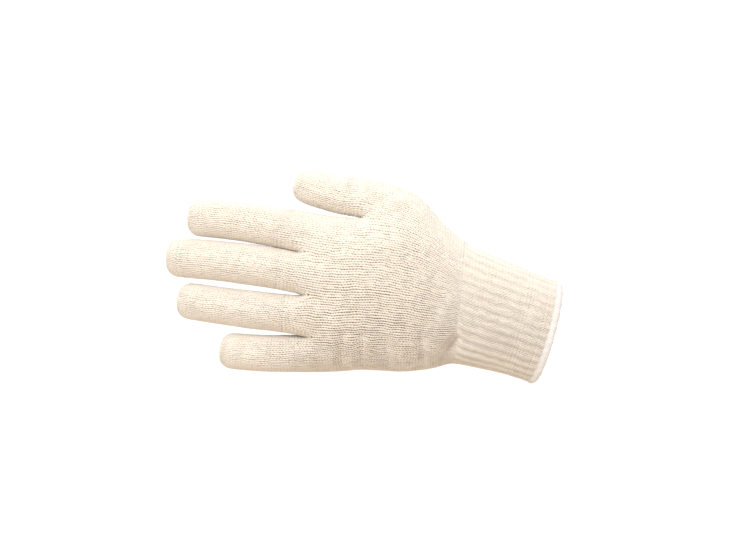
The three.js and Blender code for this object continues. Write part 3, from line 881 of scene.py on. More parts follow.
@dataclass(frozen=True)
class Stitch:
    """One knit stitch in millimetres: a V of two legs that taper where they pass the next one."""

    course: float = 1.72
    crest: float = 0.32
    touch: float = -0.2
    pit: float = -0.85
    chevron: float = 0.5
    leg_stops: tuple[float, ...] = (0.0, 0.14, 0.5, 0.86)
    pinch: float = 0.1
    roundness: float = 2.4
    rows: int = 2  # rows of corners for each course
    draws: int = 512  # random values each way before they repeat
    least_gap: float = 0.2  # how wide a gap is at least, as a share of the usual one
    gap_change: float = 1.1  # from one gap to the next
    gap_bias: float = 1.4  # above 1, most gaps are narrow
    slow_change: float = 0.7
    slow_courses: float = 7.0
    even_depth: float = 0.55  # of a gap's depth, what its width doesn't change
    leg_light: float = 0.72  # of a gap's shadow, what full legs take away
    leg_shadow: float = 0.1  # on the narrow ends of the legs
    slack_height: float = 0.5  # of a stitch's height, what openness changes
    seam_light: float = 0.2  # of a gap's shadow, what the wrist seam takes away

    def scatter(self, wale: np.ndarray, course: np.ndarray, seed: int, lasts: float = 1.0) -> np.ndarray:
        """Random values from 0 to 1 that change smoothly from one gap between legs to the next.

        Args:
            wale: places across the wales.
            course: places along them.
            seed: which draw is read.
            lasts: over how many courses a value lasts.

        Returns:
            The value at each place.
        """
        size = self.draws
        drawn = np.random.default_rng(seed).random((size, size))
        x, y = np.broadcast_arrays(2 * wale, course / lasts)
        i, j = np.floor(x).astype(int), np.floor(y).astype(int)
        fx, fy = x - i, y - j
        near, far = (
            drawn[i % size, row % size] * (1 - fx) + drawn[(i + 1) % size, row % size] * fx
            for row in (j, j + 1)
        )
        return near * (1 - fy) + far * fy

    def relief(
        self, wale: np.ndarray, course: np.ndarray, seed: int, evenness: float = 0.0
    ) -> tuple[np.ndarray, np.ndarray]:
        """How high the yarn stands and how deep in a gap it lies.

        Args:
            wale: places across the wales, a whole number for each wale.
            course: places along them, a whole number for each course.
            seed: which draw makes some gaps wider than others.
            evenness: how alike the gaps are, up to 1.

        Returns:
            The height in millimetres, and the share of shadow, about 0 to 1.
        """
        across = np.abs(2 * ((2 * wale) % 1) - 1)
        body = np.maximum(0.0, 1 - across**self.roundness) ** (1 / self.roundness)
        full = 0.5 - 0.5 * np.cos(2 * math.pi * course)
        small = self.scatter(wale, course, seed)
        long = self.scatter(wale, course, seed + 1, self.slow_courses)
        wide = self.least_gap + self.gap_change * small**self.gap_bias + self.slow_change * long
        wide = wide + (1 - wide) * evenness
        gap = self.pit + (self.touch - self.pit) * full
        depth = gap * (self.even_depth + (1 - self.even_depth) * wide)
        height = body * self.crest * full + (1 - body) * depth
        shadow = (1 - body) * (1 - self.leg_light * full) * wide + self.leg_shadow * body * (1 - full)
        return height, shadow

    def eased(
        self, relief: tuple[np.ndarray, np.ndarray], opened: np.ndarray, fade: np.ndarray
    ) -> tuple[np.ndarray, np.ndarray]:
        """Suits the relief and its painted gap shade to how open the cloth stands there, and flattens the
        relief and lightens the shade on the wrist seam.

        Args:
            relief: the height and the shadow.
            opened: how open the stitches are, about 1.
            fade: 0 on the wrist seam and 1 elsewhere.

        Returns:
            The height and the shadow.
        """
        height, shadow = relief
        tall = 1 - self.slack_height + self.slack_height * opened
        return height * fade * tall, shadow * opened * (1 - self.seam_light + self.seam_light * fade)

    def slant(self, wale: np.ndarray) -> np.ndarray:
        """How far a place of the V lies along its wale, in millimetres."""
        return self.chevron * (2 * np.abs(2 * (wale % 1) - 1) - 1)

    def stops(self, wales: int, course: float | np.ndarray) -> np.ndarray:
        """Places of the corners across some wales, drawn in where the legs are narrow.

        Args:
            wales: how many wales.
            course: places along them, as one number or an array of rows.

        Returns:
            The places in wales, across by along.
        """
        narrow = 0.5 + 0.5 * np.cos(2 * math.pi * np.atleast_1d(course))
        legs = np.arange(2 * wales)[:, None]
        stops = np.array(self.leg_stops)
        inwards = np.array((0.0, self.pinch, 0.0, -self.pinch))
        drawn = stops[None, :, None] + inwards[None, :, None] * narrow[None, None, :]
        places = (legs[:, :, None] + drawn).reshape(-1, narrow.size) / 2
        return np.concatenate([places, np.full((1, narrow.size), float(wales))])


@dataclass
class Shell:
    """Gathers the skins and rims of one closed knitted piece, in millimetres."""

    points: list[np.ndarray] = field(default_factory=list)
    shadows: list[np.ndarray] = field(default_factory=list)
    faces: list[np.ndarray] = field(default_factory=list)
    places: list[np.ndarray] = field(default_factory=list)
    inside: list[np.ndarray] = field(default_factory=list)
    creases: list[np.ndarray] = field(default_factory=list)
    count: int = 0

    def add_points(self, points: np.ndarray, shadow: np.ndarray) -> int:
        """Adds points.

        Args:
            points: their places in millimetres.
            shadow: their shares of shadow.

        Returns:
            The first one's number.
        """
        self.points.append(points)
        self.shadows.append(shadow)
        self.count += len(points)
        return self.count - len(points)

    def add_ring(self, skin: np.ndarray, shadow: np.ndarray) -> np.ndarray:
        """Adds a skin whose last column is its first.

        Args:
            skin: its points, round by along.
            shadow: their shares of shadow.

        Returns:
            Their numbers, with the first column again at the end.
        """
        width, height = skin.shape[:2]
        first = self.add_points(skin[:-1].reshape(-1, 3), shadow[:-1].ravel())
        numbers = first + np.arange((width - 1) * height).reshape(width - 1, height)
        return np.concatenate([numbers, numbers[:1]])

    def add_faces(self, faces: np.ndarray, places: np.ndarray, inside: bool = False) -> None:
        """Adds faces.

        Args:
            faces: the numbers of their corners.
            places: the wale and course of each corner.
            inside: whether they have the finish of the inside.
        """
        self.faces.append(faces)
        self.places.append(places)
        self.inside.append(np.full(len(faces), inside))

    def add_grid(self, ids: np.ndarray, wale: np.ndarray, course: np.ndarray, inside: bool) -> None:
        """Adds the faces of a grid of points, wound outwards, or inwards on the inside.

        Args:
            ids: the points' numbers.
            wale: their wales.
            course: their courses.
            inside: whether the grid is an inner skin.
        """
        place = np.stack(np.broadcast_arrays(wale, course), -1)
        turns = ((0, 0), (1, 0), (1, 1), (0, 1))
        if inside:
            turns = ((0, 0), (0, 1), (1, 1), (1, 0))
        width, height = ids.shape[0] - 1, ids.shape[1] - 1
        cuts = [(slice(i, i + width), slice(j, j + height)) for i, j in turns]
        faces = np.stack([ids[cut].ravel() for cut in cuts], -1)
        self.add_faces(faces, np.stack([place[cut].reshape(-1, 2) for cut in cuts], 1), inside)

    def add_rim(
        self,
        end: End,
        outer: tuple[np.ndarray, np.ndarray],
        inner: tuple[np.ndarray, np.ndarray],
    ) -> None:
        """Closes the gap between the ends of the outer and the inner skin.

        Args:
            end: which end of the piece the rim is at.
            outer: the outer skin's points and their places round the rim, closed.
            inner: the same of the inner skin.
        """
        (out, out_at), (into, into_at) = outer, inner
        faces, i, j = [], 0, 0
        while i < len(out) - 1 or j < len(into) - 1:
            if j == len(into) - 1 or (i < len(out) - 1 and out_at[i + 1] <= into_at[j + 1] + 1e-9):
                faces.append((out[i + 1], out[i], into[j]))
                i += 1
            else:
                faces.append((out[i], into[j], into[j + 1]))
                j += 1
        found = np.array(faces)
        if end is End.FINISH:
            found = found[:, ::-1]
        self.add_faces(found, np.zeros((len(found), 3, 2)))
        self.creases += [np.unique(out), np.unique(into)]

    def build(
        self, name: str, weave: bpy.types.Material, reverse: bpy.types.Material
    ) -> bpy.types.Object:
        """Makes the piece's object.

        Args:
            name: the piece's name.
            weave: the finish of the outer skin.
            reverse: the finish of the inner skin.

        Returns:
            The object, in metres and at the origin.
        """
        mesh = bpy.data.meshes.new(name)
        sizes = np.concatenate([np.full(len(faces), faces.shape[1]) for faces in self.faces])
        loops = np.concatenate([faces.ravel() for faces in self.faces])
        mesh.vertices.add(self.count)
        fill(mesh.vertices, "co", np.concatenate(self.points) * MILLIMETRE)
        mesh.loops.add(len(loops))
        fill(mesh.loops, "vertex_index", loops, np.int32)
        mesh.polygons.add(len(sizes))
        fill(mesh.polygons, "loop_start", np.cumsum(sizes) - sizes, np.int32)
        mesh.update(calc_edges=True)
        fill(mesh.polygons, "use_smooth", np.ones(len(sizes)), bool)
        fill(mesh.polygons, "material_index", np.concatenate(self.inside), np.int32)
        places = np.concatenate([place.reshape(-1, 2) for place in self.places])
        fill(mesh.uv_layers.new(name="knit").data, "uv", places)
        shadow = mesh.attributes.new("shadow", "FLOAT", "POINT")
        fill(shadow.data, "value", np.concatenate(self.shadows))
        self.crease(mesh)
        for finish in (weave, reverse):
            mesh.materials.append(finish)
        mesh.validate()
        piece = bpy.data.objects.new(name, mesh)
        bpy.context.scene.collection.objects.link(piece)
        return piece

    def crease(self, mesh: bpy.types.Mesh) -> None:
        """Keeps the edges round each rim sharp.

        Args:
            mesh: the piece's mesh.
        """
        ends = np.empty(len(mesh.edges) * 2, np.int32)
        mesh.edges.foreach_get("vertices", ends)
        ends = ends.reshape(-1, 2)
        sharp = np.zeros(len(ends), bool)
        for loop in self.creases:
            sharp |= np.isin(ends, loop).all(axis=1)
        fill(mesh.edges, "use_edge_sharp", sharp, bool)


@dataclass(frozen=True)
class Stretch:
    """A stretch of a patch that a piece covers: its first and last row, in spans of the net."""

    patch: str
    first: int
    last: int


@dataclass
class Lattice:
    """The corners of a stretch's stitches, across by along."""

    patch: str
    column: np.ndarray  # on the net, as the row is
    row: np.ndarray
    wale: np.ndarray
    course: np.ndarray
    vertices: np.ndarray  # of the cloth, round each corner
    parts: np.ndarray  # their shares of it
    numbers: np.ndarray  # of the corners in the outer skin


class KnittedPiece:
    """A closed jersey piece over stretches of the cloth."""

    inner_stride = 4  # fine spans for each face of the inner skin
    inner_courses = 10  # for each span of the net
    inner_shadow = 0.25
    edge_wales = 3
    body_wales = 4
    stray = 0.2  # millimetres that a stitch strays from its line
    loft = 0.03  # millimetres that the cloth strays from its height
    tip_gaps = 0.6  # how much of the painted gap shade a fingertip keeps
    first_draw = 100
    least_share = 1e-5  # below this, a vertex doesn't count for a corner
    share_digits = 5
    share_nudge = 3e-7  # keeps equal shares from rounding apart

    def __init__(
        self, cloth: Cloth, stitch: Stitch, tension_and_shade: TensionAndShade, stretches: list[Stretch]
    ) -> None:
        """Knits the outer skin, lays the inner one and closes the rims.

        Args:
            cloth: the smooth cloth.
            stitch: the form of a stitch.
            tension_and_shade: how open the stitches stand.
            stretches: what the piece covers.
        """
        self.cloth, self.stitch, self.tension_and_shade, self.shell = cloth, stitch, tension_and_shade, Shell()
        self.keys: dict[frozenset, int] = {}
        self.total = 0
        self.rims: dict[tuple[str, int, End], tuple[np.ndarray, np.ndarray]] = {}
        self.knit([self.lattice(stretch) for stretch in stretches])
        self.line(stretches)

    def wales(self, patch: str) -> list[int]:
        """Counts the wales of a patch.

        Args:
            patch: its name.

        Returns:
            How many wales each of its columns has.
        """
        edge, body = self.edge_wales, self.body_wales
        if patch.endswith("_tip"):
            return [body, body]
        half = [edge, *[body] * (self.cloth.size[patch][0] // 2 - 2), edge]
        return half + half

    def courses(self, patch: str) -> list[int]:
        """How many courses each row of a patch has."""
        lengths = [self.cloth.span_length(patch, row) for row in range(self.cloth.size[patch][1])]
        return [max(1, round(length / self.stitch.course)) for length in lengths]

    def lattice(self, stretch: Stretch) -> Lattice:
        """Places the corners of a stretch's stitches.

        Args:
            stretch: the patch and its rows.

        Returns:
            The corners.
        """
        patch, stitch, cloth = stretch.patch, self.stitch, self.cloth
        starts = running_total(self.wales(patch))
        if patch.endswith("_tip"):
            side = stitch.stops(self.edge_wales, 0.0)[:, 0] / self.edge_wales
            row = np.concatenate([side[:-1], 1 + side])
            length = cloth.span_length(patch, 0) + cloth.span_length(patch, 1)
            course = row / 2 * max(2, round(length / stitch.course))
        else:
            totals = running_total(self.courses(patch))
            first, last = totals[[stretch.first, stretch.last]] * stitch.rows
            course = np.arange(first, last + 1) / stitch.rows
            row = np.interp(course, totals, np.arange(len(totals)))
        wale = stitch.stops(int(starts[-1]), course)
        column = np.interp(wale, starts, np.arange(len(starts)))
        if patch in cloth.form.tube_names:
            even = wale / starts[-1] * (len(starts) - 1)
            last = cloth.size[patch][1]
            evened = smoothstep(row, 0, 1) * smoothstep(-row, -last, 1 - last)
            column = column + (even - column) * evened
        row, course = (np.broadcast_to(values, column.shape) for values in (row, course))
        vertices, parts = cloth.corners(patch, column, row)
        numbers = self.number(vertices, parts)
        return Lattice(patch, column, row, wale, course, vertices, parts, numbers)

    def number(self, vertices: np.ndarray, parts: np.ndarray) -> np.ndarray:
        """Gives each corner a number that neighbouring patches share along their borders.

        Args:
            vertices: the cloth's vertices round each corner.
            parts: their shares of it.

        Returns:
            The numbers, across by along.
        """
        numbers = np.full(vertices.shape[:2], -1)
        inner = np.zeros(numbers.shape, bool)
        inner[1:-1, 1:-1] = True
        for i, j in zip(*np.nonzero(~inner)):
            key = frozenset(
                (vertex, round(part + self.share_nudge, self.share_digits))
                for vertex, part in zip(vertices[i, j].tolist(), parts[i, j].tolist())
                if part > self.least_share
            )
            if key not in self.keys:
                self.keys[key] = self.total
                self.total += 1
            numbers[i, j] = self.keys[key]
        numbers[inner] = self.total + np.arange(inner.sum())
        self.total += int(inner.sum())
        return numbers

    def knit(self, lattices: list[Lattice]) -> None:
        """Makes the outer skin, with the relief of every stitch.

        Args:
            lattices: the corners of all stretches.
        """
        cloth = self.cloth
        base, normal, wale_way = (np.zeros((self.total, 3)) for _ in range(3))
        height, shadow, slant, hits = (np.zeros(self.total) for _ in range(4))
        fade = np.ones(self.total)
        for lattice in lattices:
            numbers = lattice.numbers
            spot, turned, ahead = (
                (values[lattice.vertices] * lattice.parts[..., None]).sum(-2)
                for values in (cloth.points, cloth.normals, cloth.wales)
            )
            base[numbers], normal[numbers] = spot, turned
            seed = self.first_draw + 2 * cloth.patches.index(lattice.patch)
            lift, dark = self.stitch.relief(lattice.wale, lattice.course, seed)
            lean = self.stitch.slant(lattice.wale)
            if lattice.patch.endswith("_tip"):
                turn, inner = 1 - lattice.row, np.s_[1:-1, 1:-1]
                wale_way[numbers[inner]] = (unit(np.gradient(spot, axis=1)) * turn[..., None])[inner]
                # dark is the painted shade in the gaps between legs; fingertips keep less of it
                lean, dark = lean * np.abs(turn), dark * self.tip_gaps
            else:
                wale_way[numbers] = ahead
            if lattice.patch == "arm":
                fade[numbers[np.isclose(lattice.row, cloth.form.seam)]] = 0.0
            sums = ((height, lift), (shadow, dark), (slant, lean), (hits, np.ones_like(lift)))
            for total, value in sums:
                np.add.at(total, numbers.ravel(), value.ravel())
        height, shadow, slant = height / hits, shadow / hits, slant / hits
        normal, wale_way = unit(normal), unit(wale_way)
        height, shadow = self.stitch.eased((height, shadow), self.tension_and_shade.at(base), fade)
        points = base + normal * (height + self.loft * LOFT.at(base))[:, None]
        points += wale_way * ((slant + self.stray * ALONG.at(base)) * fade)[:, None]
        points += np.cross(normal, wale_way) * (self.stray * ACROSS.at(base) * fade)[:, None]
        start = self.shell.add_points(points, shadow)
        for lattice in lattices:
            numbers = lattice.numbers + start
            self.shell.add_grid(numbers, lattice.wale, lattice.course, False)
            for end, line in ((End.START, 0), (End.FINISH, -1)):
                row = round(float(lattice.row[0, line]))
                self.rims[lattice.patch, row, end] = (numbers[:, line], lattice.column[:, line])

    def line(self, stretches: list[Stretch]) -> None:
        """Lays the inner skin and closes the open ends.

        Args:
            stretches: what the piece covers.
        """
        grids, step, cloth = [], self.inner_stride, self.cloth
        for stretch in stretches:
            rows = slice(stretch.first * FINE, stretch.last * FINE + 1, step)
            grids.append(cloth.ids[stretch.patch][::step, rows])
        used, back = np.unique(np.concatenate([grid.ravel() for grid in grids]), return_inverse=True)
        skin = cloth.points[used] - cloth.normals[used] * cloth.form.wall
        start = self.shell.add_points(skin, np.full(len(used), self.inner_shadow))
        offset, ends = 0, {}
        for stretch, grid in zip(stretches, grids):
            numbers = back[offset : offset + grid.size].reshape(grid.shape) + start
            offset += grid.size
            columns, rows = (np.arange(count) * step / FINE for count in grid.shape)
            spans = running_total(self.wales(stretch.patch))
            wale = np.interp(columns, np.arange(len(spans)), spans)
            course = (stretch.first + rows) * self.inner_courses
            self.shell.add_grid(numbers, wale[:, None], course, True)
            ends[stretch.patch, stretch.first, End.START] = (numbers[:, 0], columns)
            ends[stretch.patch, stretch.last, End.FINISH] = (numbers[:, -1], columns)
        for key in self.open_ends(stretches):
            self.shell.add_rim(key[2], self.rims[key], ends[key])

    def open_ends(self, stretches: list[Stretch]) -> list[tuple[str, int, End]]:
        """The ends at which the piece meets another one.

        Args:
            stretches: what the piece covers.

        Returns:
            The patch, row and end of each.
        """
        found, tubes = [], self.cloth.form.tube_names
        for stretch in stretches:
            if stretch.patch in tubes and stretch.first == 0:
                found.append((stretch.patch, stretch.last, End.FINISH))
            elif stretch.patch in tubes or stretch.patch == "arm":
                found.append((stretch.patch, stretch.first, End.START))
        return found


class CuffLine:
    """Rings round the cuff, worked out at any distance from its opening."""

    def __init__(self, cloth: Cloth) -> None:
        """Reads the cuff's rings off the cloth.

        Args:
            cloth: the smooth cloth.
        """
        self.length = cloth.form.cuff_length
        self.stops = [ring.along for ring in cloth.form.cuff_rings] + [1.0]
        ids = cloth.ids["arm"][:, : cloth.form.seam * FINE + 1]
        self.points, self.normals = cloth.points[ids], cloth.normals[ids]

    def at(self, along: np.ndarray, round_shares: np.ndarray) -> tuple[np.ndarray, np.ndarray, np.ndarray]:
        """Points on the cuff.

        Args:
            along: distances from the opening in millimetres, one for each row.
            round_shares: shares of the way round, round by along.

        Returns:
            The points, outward normals and directions to the hand, round by along.
        """
        inside = np.clip(along, 0.0, self.length)
        row = np.interp(inside / self.length, self.stops, np.arange(len(self.stops))) * FINE
        below = np.minimum(row.astype(int), self.points.shape[1] - 2)
        part = (row - below)[None, :, None]
        line, turned = (
            values[:, below] * (1 - part) + values[:, below + 1] * part
            for values in (self.points, self.normals)
        )
        ahead = unit(self.points[:, below + 1] - self.points[:, below])
        steps = np.linalg.norm(np.diff(line, axis=0), axis=-1)
        lengths = np.concatenate([np.zeros((1, len(along))), np.cumsum(steps, axis=0)])
        found = [np.empty((*round_shares.shape, 3)) for _ in range(3)]
        for column in range(len(along)):
            where = (round_shares[:, column] % 1.0) * lengths[-1, column]
            for axis in range(3):
                for into, values in zip(found, (line, turned, ahead)):
                    into[:, column, axis] = np.interp(where, lengths[:, column], values[:, column, axis])
        points, normals, ways = found[0], unit(found[1]), unit(found[2])
        return points + ways * (along - inside)[None, :, None], normals, ways


@dataclass
class RibCuff:
    """The ribbed wrist: two knit wales stand up and one turned wale lies in each groove."""

    line: CuffLine
    stitch: Stitch
    tension_and_shade: TensionAndShade
    hem_width: float
    wall: float
    ribs: int = 33
    wales_a_rib: int = 3
    rib_height: float = 0.85
    rib_fade: float = 2.5
    rib_shadow: float = 0.1
    groove_at: float = 0.25  # of a rib, from the low edge of the hand
    groove_reach: float = 0.95
    groove_calm: float = 0.3  # how much flatter the stitches are in a groove
    wander: tuple[tuple[float, float, float], ...] = ((0.04, 9.0, 5.0), (0.02, 4.1, -17.0))
    evenness: float = 0.1
    hem_hold: float = 0.6  # of the hem's width, where the cloth begins inside it
    draw: int = 7
    inner_turns: int = 6  # corners round for each rib
    inner_rows: int = 24
    inner_depth: float = 0.9  # of a rib, how much deeper than the wall the inner skin's grooves are
    inner_rib: float = 0.55  # of a rib, how high the inner skin's ribs are

    def rise(self, along: np.ndarray) -> np.ndarray:
        """How far the ribs have risen, from 0 at the hand to 1."""
        return smoothstep(self.line.length - along, 0.0, self.rib_fade)[None, :]

    def ribbing(self, share: np.ndarray, along: np.ndarray) -> np.ndarray:
        """How deep in a groove some places lie.

        Args:
            share: shares of the way round.
            along: distances from the opening in millimetres.

        Returns:
            0 on a crest and 1 at the bottom of a groove, round by along.
        """
        wander = sum(size * np.sin(along / length + turns * share) for size, length, turns in self.wander)
        phase = share * self.ribs - self.groove_at + wander
        from_groove = 2 * np.abs((phase + 0.5) % 1 - 0.5)
        return 0.5 + 0.5 * np.cos(math.pi * np.minimum(1.0, from_groove / self.groove_reach))

    def shell(self) -> Shell:
        """Knits the cuff.

        Returns:
            One closed shell.
        """
        shell, stitch, length = Shell(), self.stitch, self.line.length
        wales = self.ribs * self.wales_a_rib
        start = self.hem_hold * self.hem_width
        courses = round((length - start) / stitch.course)
        course = np.arange(courses * stitch.rows + 1) / stitch.rows
        along = start + (length - start) * course / courses
        wale = stitch.stops(wales, course)
        share = wale / wales + (self.groove_at * self.wales_a_rib - 0.5) / wales
        points, normals, ways = self.line.at(along, share)
        groove = self.ribbing(share, along[None, :]) * self.rise(along)
        fade = 1.0 - np.isclose(along, length)[None, :]
        relief = stitch.relief(wale, course[None, :], self.draw, self.evenness)
        height, shadow = stitch.eased(relief, self.tension_and_shade.at(points), fade)
        height = height * (1 - self.groove_calm * groove) - self.rib_height * groove
        height += KnittedPiece.loft * LOFT.at(points)
        skin = points + normals * height[..., None] + ways * (stitch.slant(wale) * fade)[..., None]
        skin += np.cross(normals, ways) * (KnittedPiece.stray * ACROSS.at(points) * fade)[..., None]
        outer = shell.add_ring(skin, shadow + self.rib_shadow * groove)
        shell.add_grid(outer, wale, course, False)
        self.line_inside(shell, start, outer, share)
        return shell

    def line_inside(self, shell: Shell, start: float, outer: np.ndarray, share: np.ndarray) -> None:
        """Adds the inner skin, whose ribs stand where the outer grooves are, and both rims.

        Args:
            shell: the shell so far.
            start: how far from the opening the cloth begins.
            outer: the outer skin's numbers.
            share: its places round the cuff.
        """
        turns = self.ribs * self.inner_turns
        along = np.linspace(start, self.line.length, self.inner_rows)
        round_shares = np.arange(turns + 1) / turns + share[0, 0]
        at = np.broadcast_to(round_shares[:, None], (turns + 1, self.inner_rows))
        points, normals, _ = self.line.at(along, at)
        crest, rise = 1 - self.ribbing(at, along[None, :]), self.rise(along)
        depth = self.wall + self.rib_height * rise * (self.inner_depth - self.inner_rib * crest)
        shadow = np.broadcast_to(0.2 + 0.3 * rise, depth.shape)
        inner = shell.add_ring(points - normals * depth[..., None], shadow)
        wale = np.arange(turns + 1)[:, None] * self.wales_a_rib / self.inner_turns
        shell.add_grid(inner, wale, along / self.stitch.course, True)
        for end, column in ((End.START, 0), (End.FINISH, -1)):
            shell.add_rim(end, (outer[:, column], share[:, column]), (inner[:, column], round_shares))


@dataclass
class OverlockHem:
    """The white overlocked edge: slanting wraps of thread round the end of the cuff."""

    line: CuffLine
    width: float = 4.4
    thickness: float = 3.8
    proud: float = 0.5
    wraps: int = 104
    steps: int = 6  # corners for each wrap
    sides: int = 22
    thread: float = 0.24
    slant: float = 0.9  # wraps
    slant_start: float = 0.6  # radians
    sway: float = 0.2  # wraps
    sways: int = 19
    waves: tuple[tuple[float, int, int], ...] = ((0.09, 23, 0), (0.07, 37, 1))
    tightness: tuple[float, float] = (0.6, 1.1)
    fuzz: float = 0.05
    fullness: float = 0.7  # below 1, the wraps are full and the grooves narrow
    sunk: float = 1.2
    shadow: float = 0.6
    shadow_fall: float = 1.5
    draw: int = 77

    def shell(self) -> Shell:
        """Winds the hem.

        Returns:
            One closed ring.
        """
        shell, turns, half = Shell(), self.wraps * self.steps, self.width / 2
        share = (np.arange(turns + 1) / turns)[:, None]
        angle = 2 * math.pi * (np.arange(self.sides + 1) / self.sides)[None, :]
        phase = self.wraps * share + self.slant * np.sin(angle + self.slant_start)
        phase = phase + self.sway * np.sin(2 * math.pi * self.sways * share + 2 * angle)
        uneven = sum(
            size * np.sin(2 * math.pi * count * share + turn * angle) for size, count, turn in self.waves
        )
        draw = np.random.default_rng(self.draw)
        tight = draw.uniform(*self.tightness, self.wraps)[np.floor(phase).astype(int) % self.wraps]
        fuzz = np.pad(draw.normal(0.0, self.fuzz, (turns, self.sides)), ((0, 1), (0, 1)), mode="wrap")
        ridge = np.abs(np.sin(math.pi * phase)) ** self.fullness
        swell = 1 + (self.thread * tight * (2 * ridge - self.sunk) + uneven + fuzz) / half
        points, normals, ways = self.line.at(np.full(1, half), share)
        height = self.proud - self.thickness / 2 + self.thickness / 2 * np.sin(angle) * swell
        skin = points - ways * (half * np.cos(angle) * swell)[..., None] + normals * height[..., None]
        shadow = self.shadow * tight * (1 - ridge) ** self.shadow_fall
        ids = shell.add_ring(skin[:, :-1], shadow[:, :-1])
        shell.add_grid(np.concatenate([ids, ids[:, :1]], axis=1), phase, angle, False)
        return shell


def linear(code: str) -> tuple[float, float, float, float]:
    """An sRGB hex colour as linear light, with full alpha."""
    parts = [int(code[index : index + 2], 16) / 255 for index in (1, 3, 5)]
    return (*(p / 12.92 if p <= 0.04045 else ((p + 0.055) / 1.055) ** 2.4 for p in parts), 1.0)


def add_node(
    tree: bpy.types.NodeTree,
    kind: str,
    settings: dict[str, object] | None = None,
    inputs: dict[int | str, object] | None = None,
) -> bpy.types.Node:
    """Adds a node, sets it up and links it.

    Args:
        tree: the node tree.
        kind: the node's type.
        settings: its properties.
        inputs: its sockets' values, or the sockets that they are linked from.

    Returns:
        The node.
    """
    node = tree.nodes.new(kind)
    for name, value in (settings or {}).items():
        setattr(node, name, value)
    for name, value in (inputs or {}).items():
        if isinstance(value, bpy.types.NodeSocket):
            tree.links.new(value, node.inputs[name])
        else:
            node.inputs[name].default_value = value
    return node


@dataclass(frozen=True)
class CottonFinish:
    """Spun cotton: matt, slightly fuzzy yarn, with painted shade blended in at the gaps between its loops.
    """

    name: str
    yarn: str
    warm: str
    # the colour of the painted shade in the gaps between loops, blended in by the shadow attribute
    gap: str
    gap_shade_strength: float = 0.9
    sheen: float = 0.35
    sheen_roughness: float = 0.45
    roughness: float = 0.92
    specular: float = 0.2
    twist: float = 3.0  # turns of the yarn's plies for each stitch
    leg_twist: float = 4.0  # and across each of its legs
    fibre: float = 0.45  # millimetres, coarser than real so that it shows
    mottle: float = 9.0  # millimetres between slow changes of tone
    speck: float = 0.5
    speck_level: float = 0.42
    bump: float = 0.1  # millimetres
    bump_strength: float = 0.7
    ply_bump: float = 0.5
    glow: float = 0.3  # how much of the light goes through the yarn
    glow_depth: float = 4.0  # millimetres
    glow_reach: tuple[float, float, float] = (1.0, 0.75, 0.5)
    purl: bool = False

    def make(self) -> bpy.types.Material:
        """Builds the material's nodes.

        Returns:
            The material.
        """
        material = bpy.data.materials.new(self.name)
        material.use_nodes = True
        tree = material.node_tree
        tree.nodes.clear()
        spot = add_node(tree, "ShaderNodeTexCoord").outputs["Object"]
        knit = add_node(tree, "ShaderNodeUVMap", {"uv_map": "knit"}).outputs["UV"]
        wale, course, _ = add_node(tree, "ShaderNodeSeparateXYZ", None, {0: knit}).outputs
        shadow = add_node(tree, "ShaderNodeAttribute", {"attribute_name": "shadow"}).outputs["Fac"]

        def noise(size: float, detail: float) -> bpy.types.NodeSocket:
            """Noise with features of about a size in millimetres."""
            inputs = {"Vector": spot, "Scale": 1 / (size * MILLIMETRE), "Detail": detail}
            return add_node(tree, "ShaderNodeTexNoise", None, inputs).outputs[0]

        def maths(operation: str, *values: object) -> bpy.types.NodeSocket:
            """The result of one sum."""
            node = add_node(tree, "ShaderNodeMath", {"operation": operation}, dict(enumerate(values)))
            return node.outputs[0]

        def mixed(factor: object, low: object, high: object) -> bpy.types.NodeSocket:
            """A blend of two colours."""
            node = add_node(tree, "ShaderNodeMix", {"data_type": "RGBA"}, {0: factor, 6: low, 7: high})
            return node.outputs[2]

        mottle, fibre, ply = noise(self.mottle, 3.0), noise(self.fibre, 2.0), course
        if not self.purl:
            leg = maths("ABSOLUTE", maths("SUBTRACT", maths("FRACT", wale), 0.5))
            across = maths("MULTIPLY", leg, self.leg_twist)
            ply = maths("ADD", maths("MULTIPLY", course, self.twist), across)
        turn = maths("SINE", maths("MULTIPLY", ply, 2 * math.pi))
        # Painted shade: the shadow attribute, plus random fibre specks, blends the yarn towards the gap
        # colour
        speck = maths("MULTIPLY", maths("SUBTRACT", fibre, self.speck_level), self.speck)
        depth = maths("ADD", maths("MULTIPLY", shadow, self.gap_shade_strength), speck)
        clamp = add_node(tree, "ShaderNodeClamp", None, {0: depth}).outputs[0]
        toned = mixed(mottle, linear(self.yarn), linear(self.warm))
        colour = mixed(clamp, toned, linear(self.gap))
        relief = maths("ADD", maths("MULTIPLY", turn, self.ply_bump), fibre)
        bump = add_node(
            tree, "ShaderNodeBump", None,
            {"Strength": self.bump_strength, "Distance": self.bump * MILLIMETRE, "Height": relief},
        )
        shader = add_node(
            tree, "ShaderNodeBsdfPrincipled", None,
            {
                "Base Color": colour, "Roughness": self.roughness, "Sheen Weight": self.sheen,
                "Sheen Roughness": self.sheen_roughness, "Specular IOR Level": self.specular,
                "Normal": bump.outputs[0], "Subsurface Weight": self.glow,
                "Subsurface Radius": self.glow_reach, "Subsurface Scale": self.glow_depth * MILLIMETRE,
            },
        )
        add_node(tree, "ShaderNodeOutputMaterial", None, {"Surface": shader.outputs[0]})
        return material


